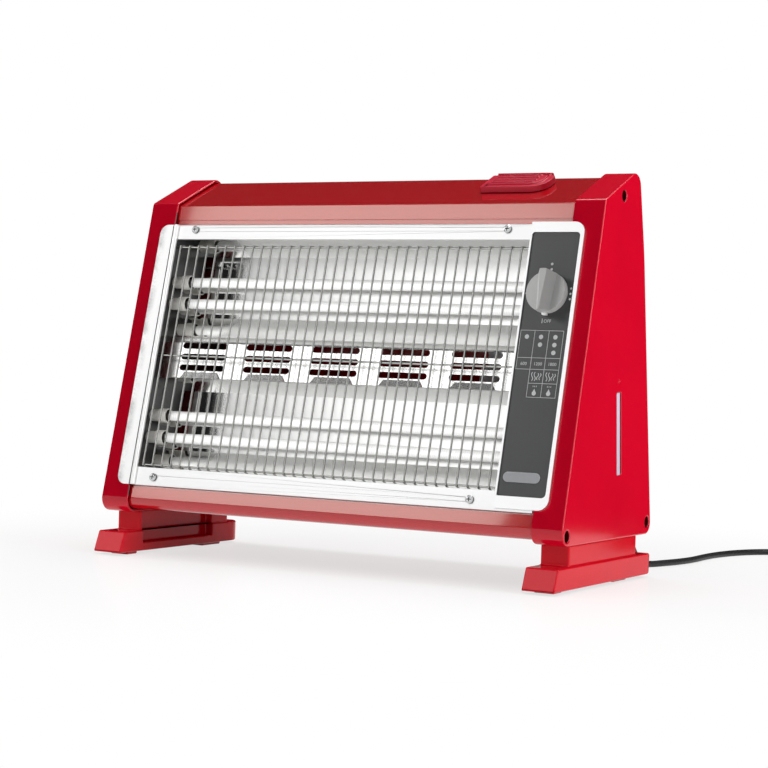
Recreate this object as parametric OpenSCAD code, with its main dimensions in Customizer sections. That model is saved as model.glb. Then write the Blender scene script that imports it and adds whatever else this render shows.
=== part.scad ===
// Quartz heater: two moulded end caps, folded steel covers between them, a bright front frame
// with a wire guard, two reflector troughs with two quartz tubes each, a control panel with one
// knob, and a water tank that is filled under a hinged lid.
// X runs along the front, the front faces -Y, Z is up. The origin is on the floor, below the
// middle of the feet. The front is described by x, by s (up the lean from the front crease) and
// by d (depth behind the face of the end caps).

/* [Housing] */
// Width over both end caps
overall_w = 540; // [530:1:570]
// Width of one end cap
cap_w = 34; // [33:0.5:35]
// Lean of the front from upright, in degrees
front_lean = 13.7; // [13:0.1:14.4]
// Length of the leaning front face
front_len = 331; // [328:1:334]
// Rise of the top face from level, in degrees
top_rise = 24.2; // [23:0.1:25.5]
// Length of the rising top face up to the rear corner
top_len = 93; // [91:1:96]
// Lean of the upper back from upright, in degrees
back_top_lean = 12.5; // [11.5:0.1:13]
// Length of the upper back
back_top_len = 88.6; // [84:0.2:92]
// Lean of the lower back from upright, in degrees
back_lean = 8.4; // [8:0.1:9]
// Height of the underside of the end caps above the floor
sill_z = 45.5; // [44:0.5:47]
// Wall of the moulded end caps
cap_wall = 3; // [2.5:0.1:3.2]
// Step from the end caps down to the folded covers
cover_step = 4; // [3.8:0.1:4.2]
// Thickness of the folded steel covers
cover_t = 1; // [0.8:0.1:1.2]
// Diameter of the screw wells in the end caps
well_d = 11.4; // [10:0.1:12]

/* [Feet] */
// Width of one foot
foot_w = 34.4; // [33:0.1:35]
// Length of one foot, front to back
foot_len = 241; // [232:1:246]
// Height of the base of a foot, without its pads
foot_base_h = 22; // [20:0.5:24]
// Height of the pads below the feet
foot_pad_h = 3; // [2:0.5:4]

/* [Front frame and guard] */
// Height of the lower rail
low_rail_h = 19.5; // [18:0.5:21]
// Height of the upper rail
top_rail_h = 16; // [15:0.5:17]
// Width of the left stile
stile_w = 23.5; // [22:0.5:25]
// Diameter of the guard wire
wire_d = 2; // [1.8:0.1:2.2]
// Upright wires in the guard
wire_count = 36; // [30:1:38]
// Heads of the screws in the rails
rail_screw_d = 8.5; // [7:0.1:9]

/* [Heating] */
// Diameter of the quartz tubes
tube_d = 11; // [10:0.1:12]
// Distance between the two tubes of a pair
tube_step = 24.2; // [22:0.1:26]
// Depth of the tubes behind the face of the end caps
tube_depth = 34; // [32:0.5:36]
// Height of the gap between the two reflector troughs
vent_gap = 46.7; // [44:0.1:50]
// Length of a vent slot
slot_len = 57; // [50:1:62]
// Height of a vent slot
slot_h = 6.6; // [5:0.1:8]

/* [Controls] */
// Width of the control panel
panel_w = 57.5; // [56:0.5:59]
// Diameter of the knob
knob_d = 41; // [36:0.5:43]
// Height of the knob's skirt
knob_skirt = 8; // [6:0.5:9]
// Height of the knob's grip above its skirt
knob_grip_h = 11; // [8:0.5:13]

/* [Water tank] */
// Length of the lid along the front
lid_w = 72; // [70:1:78]
// Length of the lid up the slope
lid_len = 40; // [38:1:41]
// Diameter of the lid's hinge pin
pin_d = 3; // [2.6:0.1:3.2]
// Height of the level window
window_h = 83; // [70:1:85]
// Width of the level window
window_w = 11; // [9:0.5:12]

/* [Cord] */
// Diameter of the cord
cord_d = 7; // [6.6:0.1:7]
// Pull of the coil towards its middle in one turn
coil_step = 7.6; // [7.5:0.1:7.8]
// Radius of the coil's first turn
coil_r = 46; // [45:0.5:47]

/* [Hidden] */
$fn = 48;

// Colours
red_gloss = [0.78, 0.02, 0.08];
red_paint = [0.72, 0.05, 0.08];
bright = [0.86, 0.87, 0.88];
chrome = [0.75, 0.76, 0.78];
grey = [0.3, 0.3, 0.31];
pale_grey = [0.72, 0.72, 0.72];
milky = [0.94, 0.94, 0.95];
ceramic = [0.86, 0.84, 0.8];
black = [0.08, 0.08, 0.08];
brass = [0.78, 0.65, 0.38];

// Fits
seat = 0.3;
run_fit = 0.06;
screw_fit = 0.3;

// Stations along X
half_w = overall_w/2;
cap_in = half_w - cap_w;
plate_t = 1;
plate_in = cap_in + 10;
panel_x0 = half_w - 75;
panel_x1 = panel_x0 + panel_w;
partition_x = panel_x0 + 11;
span_x0 = -plate_in + seat;
span_x1 = partition_x - seat;
stile_x0 = -half_w + 17.5;
stile_x1 = stile_x0 + stile_w;

// Corners of the end caps' outline in Y and Z
front_y = -108;
front_z = sill_z + 13.2;
up_front = [sin(front_lean), cos(front_lean)];
in_front = [cos(front_lean), -sin(front_lean)];
crease = [front_y, front_z];
brow = crease + front_len*up_front;
crown = brow + top_len*[cos(top_rise), sin(top_rise)];
knee = crown + back_top_len*[sin(back_top_lean), -cos(back_top_lean)];
heel = [knee.x + (knee.y - sill_z)*tan(back_lean), sill_z];
toe = [crease.x - (crease.y - sill_z)*tan(front_lean), sill_z];
outline = [toe, brow, crown, knee, heel];
outline_r = [14, 5, 14, 300, 12];

function unit(v) = v/norm(v);
function wrap(i, n) = (i + n) % n;
// Point of the front face at s up the lean and d behind it
function front_pt(s, d) = crease + s*up_front + d*in_front;
// Y of the lower back face at height z
function back_y(z) = heel.x - (z - sill_z)*tan(back_lean);

// Corners moved inwards by d, for an outline without hollows
function inset_corners(pts, d) = [for (i = [0:len(pts) - 1])
    let (n = len(pts), c = pts[i], u = unit(pts[wrap(i - 1, n)] - c),
        w = unit(pts[wrap(i + 1, n)] - c), half = acos(u*w)/2)
    c + unit(u + w)*d/sin(half)];

// Arc of radius r in the corner c between its neighbours p and q
function arc(p, c, q, r) = let (u = unit(p - c), w = unit(q - c), half = acos(u*w)/2,
        mid = c + unit(u + w)*r/sin(half), from = c + u*r/tan(half) - mid,
        start = atan2(from.y, from.x), turn = 180 - 2*half, steps = max(2, ceil(turn/9)),
        way = sign((c - p).x*(q - c).y - (c - p).y*(q - c).x))
    [for (k = [0:steps]) let (a = start + way*turn*k/steps) mid + r*[cos(a), sin(a)]];

// Outline with every corner rounded
function rounded(pts, radii) = [for (i = [0:len(pts) - 1]) let (n = len(pts))
    each arc(pts[wrap(i - 1, n)], pts[i], pts[wrap(i + 1, n)], radii[i])];

// Strip of thickness t on the left side of an open line
function strip(pts, t) = let (n = len(pts) - 1,
        normal = [for (i = [0:n - 1]) let (u = unit(pts[i + 1] - pts[i])) [-u.y, u.x]])
    concat(pts, [for (i = [n:-1:0]) let (a = normal[max(i - 1, 0)], b = normal[min(i, n - 1)])
        pts[i] + t*(a + b)/(1 + a*b)]);

// Side view of the housing, d inside the end caps' outline
module side_shape(d) {
    polygon(rounded(inset_corners(outline, d), [for (r = outline_r) max(r - d, 0.8)]));
}

// Children, drawn in Y and Z, pulled along X from x0 to x1
module along_x(x0, x1) {
    translate([x0, 0, 0]) rotate([90, 0, 90]) linear_extrude(x1 - x0) children();
}

// Frame of the leaning front: X, up the lean, outwards
module on_front(x = 0, s = 0, d = 0) {
    translate([0, crease.x, crease.y]) rotate([90 - front_lean, 0, 0]) translate([x, s, -d])
        children();
}

// Frame of the rising top: X, up the slope from the brow, outwards
module on_top(x = 0, t = 0, h = 0) {
    translate([0, brow.x, brow.y]) rotate([top_rise, 0, 0]) translate([x, t, h]) children();
}

// Frame of the lower back at height z, on the cover's face: X, down, outwards
module on_back(x, z) {
    translate([x, back_y(z) - cover_step/cos(back_lean), z]) rotate([back_lean - 90, 0, 0])
        children();
}

// Block in the leaning front
module front_block(x0, x1, s0, s1, d0, d1) {
    on_front(x0, s0, d1) cube([x1 - x0, s1 - s0, d1 - d0]);
}

// Folded strip that runs along X in the leaning front, from points of s and d
module front_strip(x0, x1, pts, t) {
    on_front() along_x(x0, x1) polygon(strip([for (p = pts) [p.x, -p.y]], t));
}

// Flat outline with rounded corners, one radius each, from the low left corner round
module round_rect(w, h, radii) {
    polygon(rounded([[0, 0], [w, 0], [w, h], [0, h]], radii));
}

// Slot with round ends
module round_slot(l, h) {
    union() {
        square([l - h, h], center = true);
        for (side = [-1, 1]) translate([side*(l - h)/2, 0]) circle(d = h);
    }
}

// End caps
well_depth = 18;
well_web = 2.5;
boss_d = well_d + 4;
screw_d = 4;
cap_screw_head_d = 8;
// Places of the screws on the side of a cap, in Y and Z
cap_screw_at = [front_pt(0, 12) + [0, -0.8], top_pt(45, -12.3),
    [back_y(58) - 10, sill_z + 12.5]];
foot_screw_y = [-60, 66];
foot_screw_x = half_w - 17;

// Level window in the right cap, leaning with the back
window_at = [23, 150.5];
window_lean = 5;
mark_at = [17.8, 202.7];
module window_shape(grow) {
    translate(window_at) rotate(window_lean)
        translate([-window_w/2 - grow, -window_h/2 - grow])
            round_rect(window_w + 2*grow, window_h + 2*grow, [2, 2, 2, 2]);
}

// Right cap, open towards the inside
module end_cap(window) {
    difference() {
        union() {
            difference() {
                along_x(cap_in, half_w) side_shape(0);
                along_x(cap_in - 1, half_w - cap_wall) side_shape(cap_wall);
            }
            for (p = cap_screw_at)
                translate([plate_in + plate_t, p.x, p.y]) rotate([0, 90, 0])
                    cylinder(d = boss_d, h = half_w - plate_in - plate_t - 1);
            for (y = foot_screw_y)
                translate([foot_screw_x, y, sill_z + 1]) cylinder(d = 10, h = 16);
        }
        for (p = cap_screw_at) {
            translate([half_w - well_depth, p.x, p.y]) rotate([0, 90, 0])
                cylinder(d = well_d, h = well_depth + 1);
            translate([cap_in, p.x, p.y]) rotate([0, 90, 0])
                cylinder(d = screw_d + 2*screw_fit, h = cap_w);
        }
        for (y = foot_screw_y)
            translate([foot_screw_x, y, sill_z - 1]) cylinder(d = screw_d + 0.1, h = 15);
        if (window) {
            along_x(half_w - cap_wall - 1, half_w + 1) window_shape(0);
            along_x(half_w - 1, half_w + 1) translate(mark_at) circle(d = 3);
        }
    }
}
module left_end_cap() { color(red_gloss) mirror([1, 0, 0]) end_cap(false); }
module right_end_cap() { color(red_gloss) end_cap(true); }

// Folded covers between the side plates
band_top_s = front_len - 18;
band_low_s = 14.5;
seam_top_z = knee.y + 20;
seam_low_z = 57;
hem_t = 1;
hem_d = cover_step + cover_t - 0.2;
cover_x = plate_in - seat;
module cover_skin() {
    difference() {
        side_shape(cover_step);
        side_shape(cover_step + cover_t);
    }
}

// Lid opening in the top cover
lid_x0 = half_w - 154;
lid_x1 = lid_x0 + lid_w;
lid_t0 = 34;
hinge_t = lid_t0 + lid_len;
hinge_h = 0.2;
collar_x0 = lid_x0 + 8;
collar_x1 = lid_x1 - 8;
collar_t0 = lid_t0 + 5;
collar_t1 = hinge_t + 4.5;

module top_cover() {
    color(red_paint) difference() {
        union() {
            along_x(-cover_x, cover_x) intersection() {
                cover_skin();
                polygon([front_pt(band_top_s, -20), front_pt(band_top_s, 60), [45, seam_top_z],
                    [200, seam_top_z], [200, 600], [-300, 600]]);
            }
            front_block(-cover_x, cover_x, band_top_s - 5, band_top_s + 8,
                hem_d, hem_d + hem_t);
        }
        on_top(collar_x0 - seat, collar_t0 - seat, -20)
            cube([collar_x1 - collar_x0 + 2*seat, collar_t1 - collar_t0 + 2*seat, 30]);
    }
}

gland_x = half_w - 48;
gland_z = 70;
gland_hole_d = 12.4;
vent_rows_z = [110, knee.y - 67];
vent_count = 13;
vent_step = 26;
module rear_cover() {
    color(red_paint) difference() {
        along_x(-cover_x, cover_x) intersection() {
            cover_skin();
            polygon([[20, seam_low_z + seat], [200, seam_low_z + seat],
                [200, seam_top_z - seat], [20, seam_top_z - seat]]);
        }
        for (z = vent_rows_z, i = [0:vent_count - 1])
            translate([-200 + i*vent_step, 40, z]) cube([7, 100, 55]);
        on_back(gland_x, gland_z) translate([0, 0, -10]) cylinder(d = gland_hole_d, h = 20);
    }
}

module bottom_cover() {
    color(red_paint) difference() {
        union() {
            along_x(-cover_x, cover_x) intersection() {
                cover_skin();
                polygon([front_pt(band_low_s, -30), front_pt(band_low_s, 30), [0, seam_low_z],
                    [200, seam_low_z], [200, 0], [-200, 0]]);
            }
            front_block(-cover_x, cover_x, band_low_s - 9, band_low_s + 2.2,
                hem_d, hem_d + hem_t);
        }
        for (i = [-4:4]) translate([i*44 - 15, -20, 0]) cube([30, 5, 80]);
    }
}

// Feet
neck_y0 = -82;
neck_y1 = 88;
foot_x1 = half_w - 1.2;
foot_x0 = foot_x1 - foot_w;
foot_low = foot_pad_h;
foot_top = foot_pad_h + foot_base_h;
neck_top = sill_z - seat;
foot_half = foot_len/2;
module foot() {
    difference() {
        union() {
            intersection() {
                along_x(foot_x0, foot_x1) polygon(rounded([[-foot_half, foot_low],
                    [-foot_half + 8.8, foot_top], [foot_half - 1, foot_top],
                    [foot_half, foot_low]], [1.5, 2.5, 4, 6]));
                translate([foot_x0, -foot_half, 0]) linear_extrude(80)
                    round_rect(foot_w, foot_len, [3, 3, 4, 26]);
            }
            translate([foot_x0 + 1.5, neck_y0, foot_top - 4]) linear_extrude(neck_top - foot_top + 4)
                round_rect(foot_w - 4.3, neck_y1 - neck_y0, [2, 2, 3, 3]);
            for (y = [[-101, -83], [42, 77]])
                translate([foot_x0 + 4, y[0], 0]) cube([22, y[1] - y[0], foot_low + 1]);
        }
        translate([foot_x0 - 1, neck_y0 + 4, foot_low + 9]) cube([11, 133, 60]);
        for (y = foot_screw_y) translate([foot_screw_x, y, 0]) {
            translate([0, 0, -1]) cylinder(d = 9, h = foot_top - 5);
            cylinder(d = screw_d + 2*screw_fit, h = 80);
        }
    }
}
module left_foot() { color(red_gloss) mirror([1, 0, 0]) foot(); }
module right_foot() { color(red_gloss) foot(); }

// Heights in the front: rails, the gap with the vents in the middle, a trough above and below it
frame_s0 = 17.5;
frame_s1 = front_len - 25;
low_rail_s = frame_s0 + low_rail_h;
top_rail_s = frame_s1 - top_rail_h;
vent_mid_s = (low_rail_s + top_rail_s)/2 - 1.85;
upper_back = [top_rail_s - 7, vent_mid_s + vent_gap/2 + 28.5];
lower_back = [vent_mid_s - vent_gap/2 - 7.3, low_rail_s + 28.3];
tube_drop = 9.7;
tube_mid_s = [for (back = [upper_back, lower_back]) (back[0] + back[1])/2 - tube_drop];
tube_s = [for (mid = tube_mid_s, side = [1, -1]) mid + side*tube_step/2];

// Steel plates that carry the caps, the covers, the reflectors and the tubes
plate_inset = cap_wall + 0.4;
spigot_d = 7;
module spigot_holes(x) {
    for (s = tube_s) on_front(x, s, tube_depth) rotate([0, 90, 0])
        cylinder(d = spigot_d + 2*seat, h = 10, center = true);
}
module side_plate(window) {
    difference() {
        along_x(plate_in, plate_in + plate_t) side_shape(plate_inset);
        for (p = cap_screw_at) translate([plate_in - 1, p.x, p.y]) rotate([0, 90, 0])
            cylinder(d = screw_d + 0.1, h = 5);
        if (window) along_x(plate_in - 1, plate_in + 3) window_shape(3);
    }
}
module left_side_plate() {
    color(bright) difference() {
        mirror([1, 0, 0]) side_plate(false);
        spigot_holes(-plate_in);
    }
}
module right_side_plate() { color(bright) side_plate(true); }
module control_partition() {
    color(bright) difference() {
        front_block(partition_x, partition_x + plate_t, 20, front_len - 27, 8, 66);
        spigot_holes(partition_x);
    }
}

// Bright front frame
sheet_t = 1;
bead_d = 6;
rail_screw_x = [stile_x1 + 22, panel_x0 - 27];
rail_screw_s = [frame_s0 + 9, frame_s1 - 5.2];
rail_end = cap_in - seat;
module rail_screw_holes() {
    for (x = rail_screw_x, s = rail_screw_s) on_front(x, s, 20)
        cylinder(d = 3.5 + 2*screw_fit, h = 40);
}
// The stile's face falls away from its bead towards the cap, with a groove beside the bead
stile_t = 2.1;
groove_w = 1.1;
module left_stile() {
    color(bright) union() {
        on_front(stile_x0, frame_s0, -seat) difference() {
            intersection() {
                linear_extrude(stile_t)
                    round_rect(stile_w, frame_s1 - frame_s0, [10, 0.5, 0.5, 10]);
                rotate([-90, 0, 0]) translate([0, 0, -1]) linear_extrude(frame_s1 - frame_s0 + 2)
                    polygon([[-1, 1], [-1, -0.5], [stile_w + 1, -stile_t], [stile_w + 1, 1]]);
            }
            translate([stile_w - bead_d - groove_w + 0.2, -1, 0.5])
                cube([groove_w, frame_s1 - frame_s0 + 2, 5]);
        }
        on_front(stile_x1 - bead_d/2, frame_s0, -seat) rotate([-90, 0, 0]) intersection() {
            cylinder(d = bead_d, h = frame_s1 - frame_s0);
            translate([-bead_d, -bead_d, -1]) cube([2*bead_d, bead_d, 400]);
        }
    }
}
module top_rail() {
    color(bright) difference() {
        union() {
            front_block(-rail_end, rail_end, top_rail_s, frame_s1, 0, sheet_t);
            front_block(-rail_end, rail_end, frame_s1 - sheet_t, frame_s1, 0, 7.3);
            front_block(-rail_end, rail_end, frame_s1 - sheet_t, frame_s1 + 19, 6.3, 7.3);
            front_block(-rail_end, rail_end, top_rail_s, top_rail_s + sheet_t, 0, 3);
        }
        rail_screw_holes();
    }
}
module bottom_rail() {
    color(bright) difference() {
        union() {
            front_block(-rail_end, rail_end, frame_s0, low_rail_s, 0, sheet_t);
            front_block(-rail_end, rail_end, frame_s0, frame_s0 + sheet_t, 0, 7.3);
            front_block(-rail_end, rail_end, 3, frame_s0 + sheet_t, 6.3, 7.3);
            front_block(-rail_end, rail_end, low_rail_s - sheet_t, low_rail_s, 0, 3);
        }
        rail_screw_holes();
    }
}

// Wire guard: upright wires bent back over level wires
guard_s0 = low_rail_s + 2.8;
guard_s1 = top_rail_s - 7;
upright_d = 2.8;
level_d = upright_d + wire_d*0.9;
guard_x0 = stile_x1 + 4;
guard_x1 = panel_x0 - 10;
module wire(p, q) {
    v = q - p;
    translate(p) rotate([0, acos(v.z/norm(v)), atan2(v.y, v.x)])
        cylinder(d = wire_d, h = norm(v), $fn = 16);
}
module guard_grille() {
    color(chrome) on_front() union() {
        for (i = [0:wire_count - 1]) {
            x = guard_x0 + i*(guard_x1 - guard_x0)/(wire_count - 1);
            wire([x, guard_s0 - 0.6, -upright_d], [x, guard_s1 + 0.6, -upright_d]);
            wire([x, guard_s0, -upright_d + 0.3], [x, guard_s0 - 1.8, -upright_d - 7]);
            wire([x, guard_s1, -upright_d + 0.3], [x, guard_s1 + 1.8, -upright_d - 7]);
        }
        for (s = [guard_s0 + 0.8, (guard_s0 + guard_s1)/2 - 0.5, guard_s1 - 0.8])
            wire([span_x0, s, -level_d], [span_x1, s, -level_d]);
    }
}

// Reflector troughs and the vent plate between them
trough_t = 0.8;
trough_front = 12;
trough_back = 44;
module upper_reflector() {
    color(bright) difference() {
        front_strip(span_x0, span_x1, [[frame_s1 - 2, trough_front], [top_rail_s + 3, trough_front],
            [upper_back[0], trough_back], [upper_back[1], trough_back],
            [vent_mid_s + vent_gap/2, trough_front + 2]], trough_t);
        rail_screw_holes();
    }
}
module lower_reflector() {
    color(bright) difference() {
        front_strip(span_x0, span_x1, [[vent_mid_s - vent_gap/2, trough_front + 2],
            [lower_back[0], trough_back], [lower_back[1], trough_back],
            [low_rail_s - 1, trough_front], [frame_s0 + 2.5, trough_front]], trough_t);
        rail_screw_holes();
    }
}
vent_d = trough_front + 5;
vent_step_s = 12.1;
vent_s = [for (row = [-1:1]) vent_mid_s + 1.6 + row*vent_step_s];
vent_plate_s = [vent_mid_s - vent_gap/2 + 1.5, vent_mid_s + vent_gap/2 - 6.5];
vent_groups = 5;
vent_mid = (stile_x1 + panel_x0)/2 - 1;
vent_pitch = 81.6;
flap_w = 52;
flap_taper = 5;
flap_s = vent_s[0] - slot_h/2 - 1.5;
flap_h = flap_s - vent_plate_s[0] + 1;
flap_tilt = -14;
module flap_shape(play) {
    polygon([[play - flap_w/2, -flap_h], [flap_w/2 - play, -flap_h],
        [flap_w/2 - flap_taper - play, 0], [play - flap_w/2 + flap_taper, 0]]);
}
module vent_plate() {
    group_x = [for (g = [0:vent_groups - 1]) vent_mid + (g - (vent_groups - 1)/2)*vent_pitch];
    color(bright) union() {
        difference() {
            front_strip(span_x0, span_x1, [[vent_plate_s[1] + 9, vent_d + 3],
                [vent_plate_s[1], vent_d], [vent_plate_s[0], vent_d]], trough_t);
            for (x = group_x) {
                for (s = vent_s) on_front(x, s, vent_d + 4) linear_extrude(8)
                    round_slot(slot_len, slot_h);
                on_front(x, flap_s, vent_d + 4) linear_extrude(8) flap_shape(0);
            }
        }
        for (x = group_x) on_front(x, flap_s, vent_d) rotate([flap_tilt, 0, 0])
            translate([0, 0, -trough_t]) linear_extrude(trough_t) union() {
                flap_shape(0.6);
                translate([0.6 + flap_taper - flap_w/2, -0.1])
                    square([flap_w - 2*flap_taper - 1.2, 0.7]);
            }
    }
}

// Quartz tubes in stepped ceramic ends
tube_wall = 1;
end_len = 12;
tube_x0 = -plate_in + 6;
tube_x1 = partition_x - 6;
tube_len = tube_x1 - tube_x0;
// Narrow neck at each end of a tube, and the rounded shoulder that follows it
neck_d = tube_d - 3.6;
neck_len = 17.4;
shoulder = [[0, 0], [0.3, 1], [1, 1.5], [2.4, 1.8]];
function tube_side(inner) = [for (p = shoulder) [neck_d/2 + p.y - inner, neck_len + p.x]];
function tube_line(inner, over) = let (half = tube_side(inner))
    concat([[neck_d/2 - inner, -over]], half,
        [for (k = [len(half) - 1:-1:0]) [half[k].x, tube_len - half[k].y]],
        [[neck_d/2 - inner, tube_len + over]]);
module quartz_tube(i) {
    color(milky) on_front(tube_x0, tube_s[i], tube_depth) rotate([0, 90, 0]) difference() {
        rotate_extrude() polygon(concat([[0, 0]], tube_line(0, 0), [[0, tube_len]]));
        rotate_extrude() polygon(concat([[0, -1]], tube_line(tube_wall, 1), [[0, tube_len + 1]]));
    }
}
module quartz_tube_1() { quartz_tube(0); }
module quartz_tube_2() { quartz_tube(1); }
module quartz_tube_3() { quartz_tube(2); }
module quartz_tube_4() { quartz_tube(3); }
// Close-wound resistance wire, drawn as the sleeve that its turns fill
module heating_coils() {
    color([0.6, 0.55, 0.52]) for (s = tube_s)
        on_front(tube_x0 + neck_len + 4, s, tube_depth) rotate([0, 90, 0]) difference() {
            cylinder(d = tube_d - 2*tube_wall - 1.4, h = tube_len - 2*neck_len - 8);
            translate([0, 0, -1]) cylinder(d = tube_d - 2*tube_wall - 3.4, h = tube_len);
        }
}
module ceramic_end() {
    rotate([0, 90, 0]) difference() {
        union() {
            translate([0, 0, -3]) cylinder(d = spigot_d, h = 4);
            cylinder(d = tube_d + 2, h = end_len);
            translate([0, 0, end_len - 1]) cylinder(d = tube_d + 4.8, h = 10.5);
        }
        translate([0, 0, tube_x0 + plate_in]) cylinder(d = neck_d + 0.2, h = 40);
        translate([0, 0, end_len + 3]) cylinder(d = tube_d + 2.6, h = 20);
    }
}
module ceramic_ends() {
    color(ceramic) for (s = tube_s) {
        on_front(-plate_in, s, tube_depth) ceramic_end();
        on_front(partition_x, s, tube_depth) mirror([1, 0, 0]) ceramic_end();
    }
}

// Control panel
panel_face = -3;
plate_face = -1.8;
opening_x0 = panel_x0 + 2;
opening_x1 = panel_x1 - 4;
opening_s0 = frame_s0 + 14.5;
opening_s1 = frame_s1 - 9;
knob_x = (opening_x0 + opening_x1)/2;
knob_s = front_len - 96.5;
spindle_d = 6;
module control_fascia() {
    color(bright) on_front(panel_x0, frame_s0 + 2.4, -seat) difference() {
        linear_extrude(-panel_face - seat)
            round_rect(panel_w, frame_s1 - frame_s0 - 0.8, [0.8, 11, 11, 0.8]);
        translate([opening_x0 - panel_x0, opening_s0 - frame_s0 - 2.4, -1]) linear_extrude(9)
            round_rect(opening_x1 - opening_x0, opening_s1 - opening_s0, [1.5, 4.5, 4, 3]);
    }
}
module control_plate() {
    color(grey) on_front(0, 0, -seat) difference() {
        translate([opening_x0 + 0.2, opening_s0 + 0.2, 0]) linear_extrude(-plate_face - seat)
            round_rect(opening_x1 - opening_x0 - 0.4, opening_s1 - opening_s0 - 0.4, [1.5, 4.5, 4, 3]);
        translate([knob_x, knob_s, -1]) cylinder(d = spindle_d + 4, h = 5);
    }
}
switch_w = 26;
module rotary_switch() {
    color(black) on_front(knob_x, knob_s) difference() {
        union() {
            translate([-switch_w/2, -switch_w/2, -26]) cube([switch_w, switch_w, 26 + seat]);
            for (s = [-1, 1]) translate([-9, s*8 - 0.4, -34]) cube([18, 0.8, 9]);
        }
        translate([0, 0, -16]) cylinder(d = spindle_d + 2*run_fit, h = 20);
    }
}
module switch_spindle() {
    color(chrome) on_front(knob_x, knob_s) translate([0, 0, -15.5]) cylinder(d = spindle_d, h = 28.6);
}
// Grip bar that narrows towards the pointer, with sloping sides
grip_half = 8.5;
grip_turn = 4.5;
grip_slope = 30;
module knob_grip() {
    difference() {
        cylinder(d = knob_d - 0.6, h = knob_skirt + knob_grip_h, $fn = 96);
        for (side = [0, 1]) mirror([side, 0, 0])
            translate([grip_half, 0, knob_skirt]) rotate([0, 0, -grip_turn]) rotate([0, -grip_slope, 0])
                translate([0, -knob_d, -knob_d]) cube([2*knob_d, 2*knob_d, 3*knob_d]);
    }
}
module knob() {
    color(pale_grey) on_front(knob_x, knob_s, plate_face - 0.5) difference() {
        union() {
            cylinder(d = knob_d, h = knob_skirt, $fn = 96);
            knob_grip();
            translate([-2.5, -knob_d/2 - 2, 0.5]) cube([5, 6, 4]);
        }
        translate([0, 0, -1]) cylinder(d = spindle_d + 0.04, h = 12.2);
        translate([0, 0, -1]) difference() {
            cylinder(d = knob_d - 5, h = knob_skirt - 1.5);
            cylinder(d = spindle_d + 5, h = 20);
        }
    }
}

// Safety parts inside
module thermal_cutout() {
    color(black) on_front(vent_mid + vent_pitch/2, vent_s[1], vent_d + trough_t) union() {
        translate([0, 0, -7]) cylinder(d = 14, h = 7);
        for (side = [-1, 1]) translate([side*4 - 0.4, -3, -15]) cube([0.8, 6, 9]);
    }
}
floor_z = sill_z + cover_step + cover_t;
module tilt_switch() {
    color(black) translate([70, 20, floor_z]) union() {
        cube([26, 18, 22]);
        translate([3, 18, 6]) cube([20, 3, 8]);
    }
}
module terminal_block() {
    color(milky) translate([gland_x - 26, 58, floor_z]) difference() {
        cube([36, 16, 15]);
        for (i = [0:2]) translate([7 + i*11, 8, 6]) cylinder(d = 5, h = 20);
    }
}

// Water tank: a body at the right end, a neck up to the lid, and a collar with the hinge lugs
tank_wall = 2.5;
tank_x0 = half_w - 150;
tank_x1 = plate_in - 4;
tank_z0 = 100;
tank_z1 = 212;
tank_front_gap = 81;
tank_back_gap = 15;
// Front and back of the tank at height z
function tank_front(z) = crease.x + (z - crease.y)*tan(front_lean) + tank_front_gap;
function tank_back(z) = back_y(z) - tank_back_gap;
tank_side = [[tank_front(tank_z0), tank_z0], [tank_front(tank_z1), tank_z1],
    [tank_back(tank_z1), tank_z1], [tank_back(tank_z0), tank_z0]];
neck_root = [tank_front(tank_z1) + 6, tank_back(tank_z1) - 15];
mouth_x0 = collar_x0 + 5;
mouth_x1 = collar_x1 - 5;
mouth_t0 = collar_t0 + 4;
mouth_t1 = mouth_t0 + 21;
function top_pt(t, h) = brow + t*[cos(top_rise), sin(top_rise)] + h*[-sin(top_rise), cos(top_rise)];
neck_top_h = -cover_step;
lug_w = 7;
lug_x = [lid_x0 + 20.5, lid_x1 - 20.5];
lug_d = 6.4;
module neck_shape(grow, end) {
    low = tank_z1 - 4 - end;
    polygon([top_pt(mouth_t0 - grow, neck_top_h + end), [neck_root[0] - grow, low],
        [neck_root[1] + grow, low], top_pt(mouth_t1 + grow, neck_top_h + end)]);
}
module water_tank() {
    color([0.9, 0.9, 0.93]) difference() {
        union() {
            along_x(tank_x0, tank_x1) polygon(rounded(tank_side, [4, 4, 4, 4]));
            along_x(mouth_x0 - tank_wall, mouth_x1 + tank_wall) neck_shape(tank_wall, 0);
            on_top(collar_x0, collar_t0, neck_top_h - 3)
                cube([collar_x1 - collar_x0, collar_t1 - collar_t0, 3]);
            for (x = lug_x) on_top(x - lug_w/2, hinge_t, hinge_h) rotate([0, 90, 0]) union() {
                cylinder(d = lug_d, h = lug_w);
                translate([0, -lug_d/2, 0]) cube([-neck_top_h + hinge_h + 1, lug_d, lug_w]);
            }
        }
        along_x(tank_x0 + tank_wall, tank_x1 - tank_wall)
            polygon(rounded(inset_corners(tank_side, tank_wall), [2, 2, 2, 2]));
        along_x(mouth_x0, mouth_x1) neck_shape(0, 4);
        on_top(lid_x0, hinge_t, hinge_h) rotate([0, 90, 0]) cylinder(d = pin_d + 0.04, h = lid_w);
    }
}

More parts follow.
